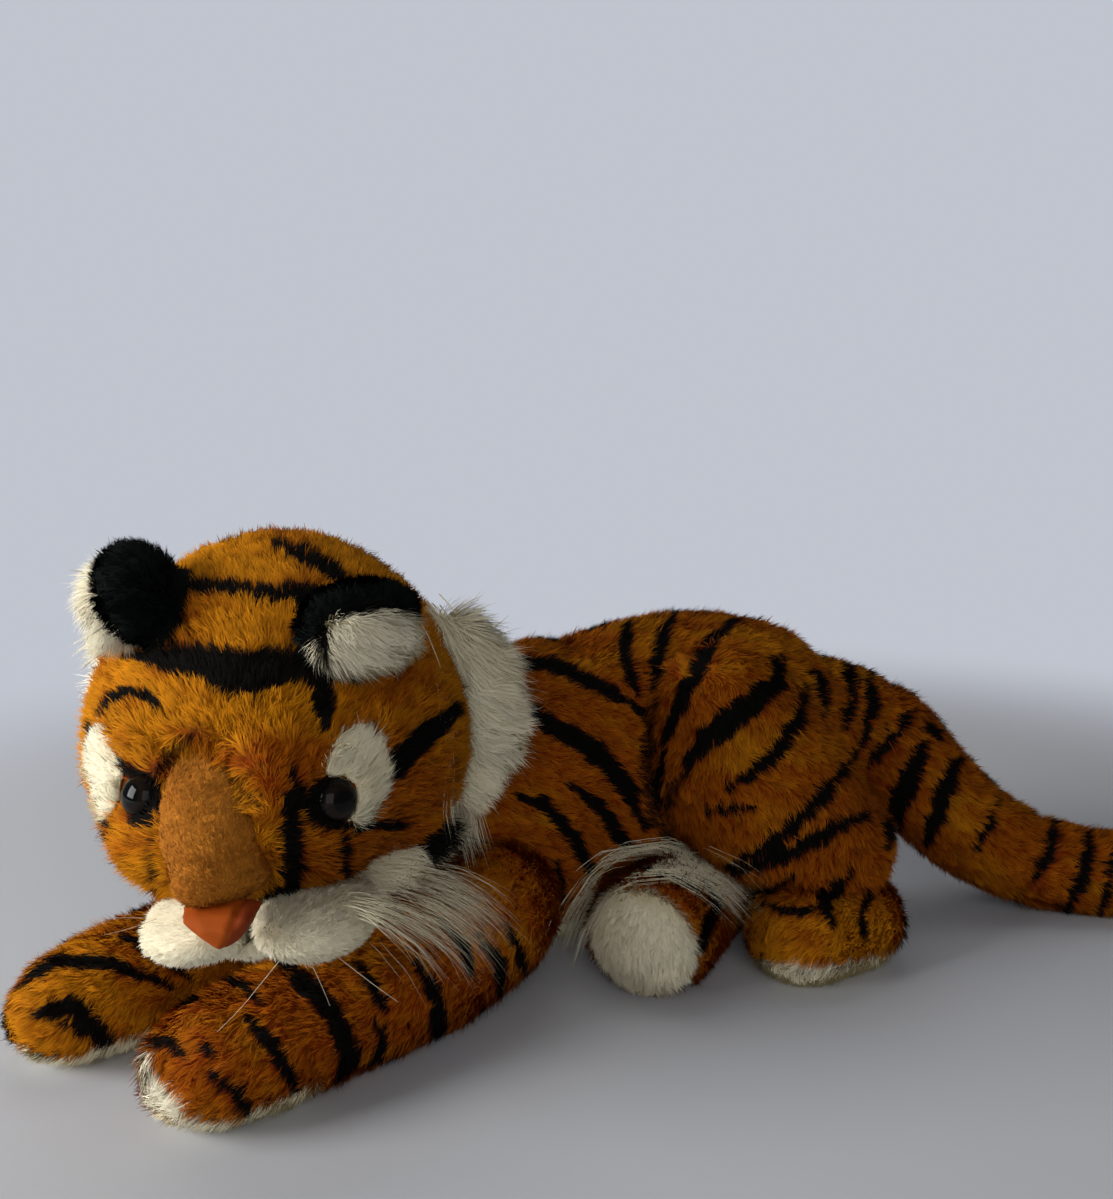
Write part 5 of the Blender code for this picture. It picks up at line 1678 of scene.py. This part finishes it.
@dataclass
class Nose:
    """The folded cloth nose."""

    cloth: Colour = (0.36, 0.070, 0.005)
    worn: Colour = (0.30, 0.052, 0.004)
    shaded: Colour = (0.20, 0.030, 0.005)
    tones: float = 240.0
    threads: float = 1500.0
    weave_strength: float = 0.25
    weave_depth: float = 0.0003
    voxel: float = 0.0008
    smooth: int = 6
    full: float = 0.0004
    crease: float = 0.0010
    crease_width: float = 4.0
    fold: tuple[tuple[float, float], ...] = ((243, 900), (217, 948))
    shift: float = 0.0028
    fill: float = 0.8

    def dress(self) -> bpy.types.Material:
        """Give the nose its fine woven cloth.

        Returns:
            The cloth material.
        """
        made, nodes, shader = new_material("nose_cloth", 0.7)
        colour = nodes.two_tone(self.cloth, self.worn, self.tones)
        colour = nodes.mix(nodes.value_of("shaded_facet"), colour, (*self.shaded, 1.0))
        nodes.put(shader.inputs["Base Color"], colour)
        shader.inputs["Specular IOR Level"].default_value = 0.1
        normal = nodes.grain(self.threads, self.weave_strength, self.weave_depth)
        nodes.put(shader.inputs["Normal"], normal)
        return made

    def build(self, body: str) -> None:
        """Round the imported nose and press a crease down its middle.

        Args:
            body: The body that it rides on.
        """
        holder = link("nose_work", frame["nodes"]["nose"].data.copy())
        mould = holder.modifiers.new("even", "REMESH")
        mould.mode = "VOXEL"
        mould.voxel_size = self.voxel
        soften = holder.modifiers.new("soften", "SMOOTH")
        soften.iterations = self.smooth
        graph = bpy.context.evaluated_depsgraph_get()
        mesh = bpy.data.meshes.new_from_object(holder.evaluated_get(graph))
        bpy.data.objects.remove(holder)
        (top_x, top_y), (end_x, end_y) = self.fold
        pixels = VIEW.project(np.array([vert.co for vert in mesh.vertices]))
        beside = pixels[:, 0] - np.interp(pixels[:, 1], (top_y, end_y), (top_x, end_x))
        normals = [item.vector.copy() for item in mesh.vertex_normals]
        lower = self.shift * ramp(pixels[:, 1], top_y, end_y)
        for vert, normal, gap, aside in zip(mesh.vertices, normals, beside, lower):
            vert.co += normal * (self.full - self.crease * math.exp(-((gap / self.crease_width) ** 2)))
            vert.co.x += aside
        # Painted shade: the facet right of the crease takes the shaded colour.
        set_values(mesh, "shaded_facet", ramp(beside, -1.0, 2.5))
        mesh.shade_smooth()
        mesh.materials.clear()
        mesh.materials.append(self.dress())
        made = link("nose_cloth_piece", mesh)
        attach(made, body)
        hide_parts("nose")
        report(made.name, len(mesh.vertices), "points")


@dataclass
class Eyes:
    """Two glossy domed eyes."""

    spokes: int = 48
    rings: int = 13
    thick: float = 0.0012
    glass: Colour = (0.003, 0.003, 0.003)
    iris: Colour = (0.010, 0.006, 0.004)

    def material(self) -> bpy.types.Material:
        """Dark glassy plastic with a faint brown ring.

        Returns:
            The material.
        """
        made, nodes, shader = new_material("eye_gloss", 0.06)
        colour = nodes.mix(nodes.value_of("ring"), (*self.glass, 1.0), (*self.iris, 1.0))
        nodes.put(shader.inputs["Base Color"], colour)
        shader.inputs["Specular IOR Level"].default_value = 0.12
        return made

    def build(self, body: str) -> None:
        """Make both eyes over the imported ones.

        Args:
            body: The body that it rides on.
        """
        gloss = self.material()
        for side, eye in zip(("left", "right"), EYES):
            mesh = self.dome("eye_dome_" + side, eye)
            mesh.materials.append(gloss)
            made = link(mesh.name, mesh)
            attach(made, body)
            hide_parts("eye_" + side)
            report(made.name, len(mesh.vertices), "points")

    def dome(self, name: str, eye: EyeSeat) -> bpy.types.Mesh:
        """Turn one eye's profile about its axis.

        Args:
            name: Name of the mesh.
            eye: Where the eye sits.

        Returns:
            A closed mesh, with its ring marked for the material.
        """
        basis = eye.axis.to_track_quat("Z", "Y").to_matrix()
        bows = np.linspace(0, math.pi / 2, self.rings + 1)[:-1]
        profile = [(eye.RADIUS * 0.985, -self.thick)]
        profile += [(eye.RADIUS * math.cos(bow), eye.DOME * math.sin(bow)) for bow in bows]
        turns = np.linspace(0, 2 * math.pi, self.spokes + 1)[:-1]
        shape = bmesh.new()
        rings = []
        for reach, rise in profile:
            spots = [Vector((reach * math.cos(turn), reach * math.sin(turn), rise)) for turn in turns]
            rings.append([shape.verts.new(eye.middle + basis @ spot) for spot in spots])
        top = shape.verts.new(eye.middle + eye.axis * eye.DOME)
        for lower, upper in zip(rings, rings[1:]):
            for i in range(self.spokes):
                after = (i + 1) % self.spokes
                shape.faces.new((lower[i], lower[after], upper[after], upper[i]))
        for i in range(self.spokes):
            shape.faces.new((rings[-1][i], rings[-1][(i + 1) % self.spokes], top))
        shape.faces.new(tuple(reversed(rings[0])))
        mesh = bpy.data.meshes.new(name)
        shape.to_mesh(mesh)
        shape.free()
        mesh.shade_smooth()
        reach, _ = eye.apart(np.array([vert.co for vert in mesh.vertices]))
        reach = reach / eye.RADIUS
        set_values(mesh, "ring", ramp(reach, 0.45, 0.55) * (1 - ramp(reach, 0.80, 0.90)))
        return mesh


@dataclass
class Whiskers:
    """Stiff clear whiskers at the lip, from their places in the photograph."""

    thick: float = 0.00013
    inset: float = 0.012
    forward: float = 0.004
    colour: Colour = (0.80, 0.72, 0.55)
    browned: Colour = (0.55, 0.42, 0.25)
    lines: tuple[tuple[tuple[float, float], ...], ...] = (
        ((146, 918), (120, 917), (96, 919)),
        ((156, 919), (132, 929), (104, 935)),
        ((290, 948), (262, 982), (240, 1010), (217, 1032)),
        ((310, 935), (344, 962), (378, 988), (398, 1002)),
        ((300, 942), (318, 975), (330, 1006)),
    )

    def build(self, body: str) -> None:
        """Lay each whisker at the depth of the lip that it grows from.

        Args:
            body: The body that it rides on.
        """
        made, nodes, shader = new_material("whisker_filament", 0.35)
        nodes.put(shader.inputs["Base Color"], nodes.two_tone(self.colour, self.browned, 120.0))
        low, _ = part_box("muzzle_left")
        for number, line in enumerate(self.lines):
            start = self.at(line[0], low.y + self.inset)
            curve = bpy.data.curves.new(f"whisker_{number}", "CURVE")
            curve.dimensions = "3D"
            curve.bevel_depth = self.thick
            curve.bevel_resolution = 1
            curve.use_fill_caps = True
            strand = curve.splines.new("NURBS")
            strand.points.add(len(line) - 1)
            strand.use_endpoint_u = True
            strand.order_u = 3
            for i, pixel in enumerate(line):
                spot = self.at(pixel, start.y - self.forward * i)
                strand.points[i].co = (*spot, 1.0)
                strand.points[i].radius = 1.0 - 0.6 * i / (len(line) - 1)
            curve.materials.append(made)
            thing = link(f"whisker_{number}", curve)
            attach(thing, body)
            report(thing.name, len(line), "bends")

    def at(self, pixel: tuple[float, float], depth: float) -> Vector:
        """Place at a pixel of the photograph and at a depth from front to back."""
        way = VIEW.ray(pixel)
        return Vector(VIEW.place) + way * ((depth - VIEW.place[1]) / way.y)


@dataclass
class Washers:
    """The hidden lock washers of the eyes."""

    colour: Colour = (0.60, 0.60, 0.58)
    dull: Colour = (0.52, 0.52, 0.50)

    def dress(self) -> None:
        """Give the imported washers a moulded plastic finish."""
        made, nodes, shader = new_material("washer_plastic", 0.5)
        nodes.put(shader.inputs["Base Color"], nodes.two_tone(self.colour, self.dull, 300.0))
        for side in ("left", "right"):
            thing = frame["nodes"]["eye_washer_" + side]
            thing.data.materials.clear()
            thing.data.materials.append(made)


@dataclass(frozen=True)
class Lamp:
    """One soft square lamp that looks at the toy's middle."""

    name: str
    place: Colour
    size: float
    power: float

    AIM = Vector((0.0, 0.0, 0.1))

    def hang(self) -> None:
        """Put the lamp into the scene."""
        data = bpy.data.lights.new(self.name, "AREA")
        data.size = self.size
        data.energy = self.power
        lamp = link(self.name, data)
        lamp.location = self.place
        lamp.rotation_euler = (self.AIM - Vector(self.place)).to_track_quat("-Z", "Y").to_euler()


@dataclass
class Studio:
    """Pale floor, soft light and a pale background."""

    floor_tone: Colour = (0.61, 0.62, 0.64)
    floor_shade: Colour = (0.58, 0.59, 0.615)
    sky_tone: Colour = (0.53, 0.555, 0.62)
    fill: float = 0.18
    radius: float = 30.0
    near: float = 0.45
    far: float = 1.10
    lamps: tuple[Lamp, ...] = (
        Lamp("window", (-1.95, -0.78, 0.74), 1.0, 43.0),
        Lamp("front", (0.1, -2.4, 0.95), 1.8, 16.5),
        Lamp("top", (-0.4, 0.80, 2.4), 1.7, 10.0),
    )

    def build(self) -> None:
        """Make the floor, the lamps and the world."""
        shape = bmesh.new()
        bmesh.ops.create_circle(shape, cap_ends=True, cap_tris=True, segments=96, radius=self.radius)
        mesh = bpy.data.meshes.new("floor")
        shape.to_mesh(mesh)
        shape.free()
        mesh.materials.append(self.cloth())
        link("floor", mesh)
        for lamp in self.lamps:
            lamp.hang()
        self.world()

    def cloth(self) -> bpy.types.Material:
        """Pale cloth that fades into the background with distance.

        Returns:
            The material.
        """
        made, nodes, shader = new_material("floor_cloth", 0.9)
        nodes.put(shader.inputs["Base Color"], nodes.two_tone(self.floor_tone, self.floor_shade, 2.0))
        away = nodes.add("ShaderNodeVectorMath", operation="LENGTH")
        nodes.put(away.inputs[0], nodes.add("ShaderNodeNewGeometry").outputs["Position"])
        share = nodes.add("ShaderNodeMapRange", interpolation_type="SMOOTHERSTEP")
        nodes.put(share.inputs["Value"], away.outputs["Value"])
        share.inputs["From Min"].default_value = self.near
        share.inputs["From Max"].default_value = self.far
        path = nodes.add("ShaderNodeLightPath")
        seen = nodes.maths("MULTIPLY", share.outputs["Result"], path.outputs["Is Camera Ray"])
        glow = nodes.add("ShaderNodeEmission")
        glow.inputs["Color"].default_value = (*self.sky_tone, 1.0)
        join = nodes.add("ShaderNodeMixShader")
        nodes.put(join.inputs[0], seen)
        nodes.put(join.inputs[1], shader.outputs[0])
        nodes.put(join.inputs[2], glow.outputs[0])
        nodes.put(made.node_tree.nodes["Material Output"].inputs["Surface"], join.outputs[0])
        return made

    def world(self) -> None:
        """Pale background for the camera, plain soft fill for the toy."""
        world = bpy.data.worlds.new("studio")
        bpy.context.scene.world = world
        world.use_nodes = True
        nodes = Nodes(world.node_tree)
        sky = world.node_tree.nodes["Background"]
        sky.inputs["Color"].default_value = (*self.sky_tone, 1.0)
        path = nodes.add("ShaderNodeLightPath")
        level = nodes.maths("MULTIPLY_ADD", path.outputs["Is Camera Ray"], 1.0 - self.fill, self.fill)
        nodes.put(sky.inputs["Strength"], level)


def body_of(node: str) -> str:
    """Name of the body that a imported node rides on."""
    bodies = frame["record"]["behaviour"]["bodies"]
    return next(name for name, members in bodies.items() if node in members)


def main() -> None:
    """Build every piece of the toy's looks in order."""
    logging.basicConfig(level=logging.INFO, format="%(message)s")
    scene = bpy.context.scene
    scene.view_settings.view_transform = "Standard"
    VIEW.make_camera()
    Studio().build()
    solids = Solids()
    markings = Markings()
    for number, form in enumerate(FORMS):
        hide = Hide(form, body_of(form.node), Paint(form, markings))
        hide.build(solids)
        Fleece(hide, solids, 100 + number).build()
    Nose().build(body_of("nose"))
    Eyes().build(body_of("eye_left"))
    for number, lock in enumerate(LOCKS):
        lock.build(solids, 300 + number)
    Whiskers().build(body_of("head"))
    Washers().dress()


if __name__ == "__main__":
    main()
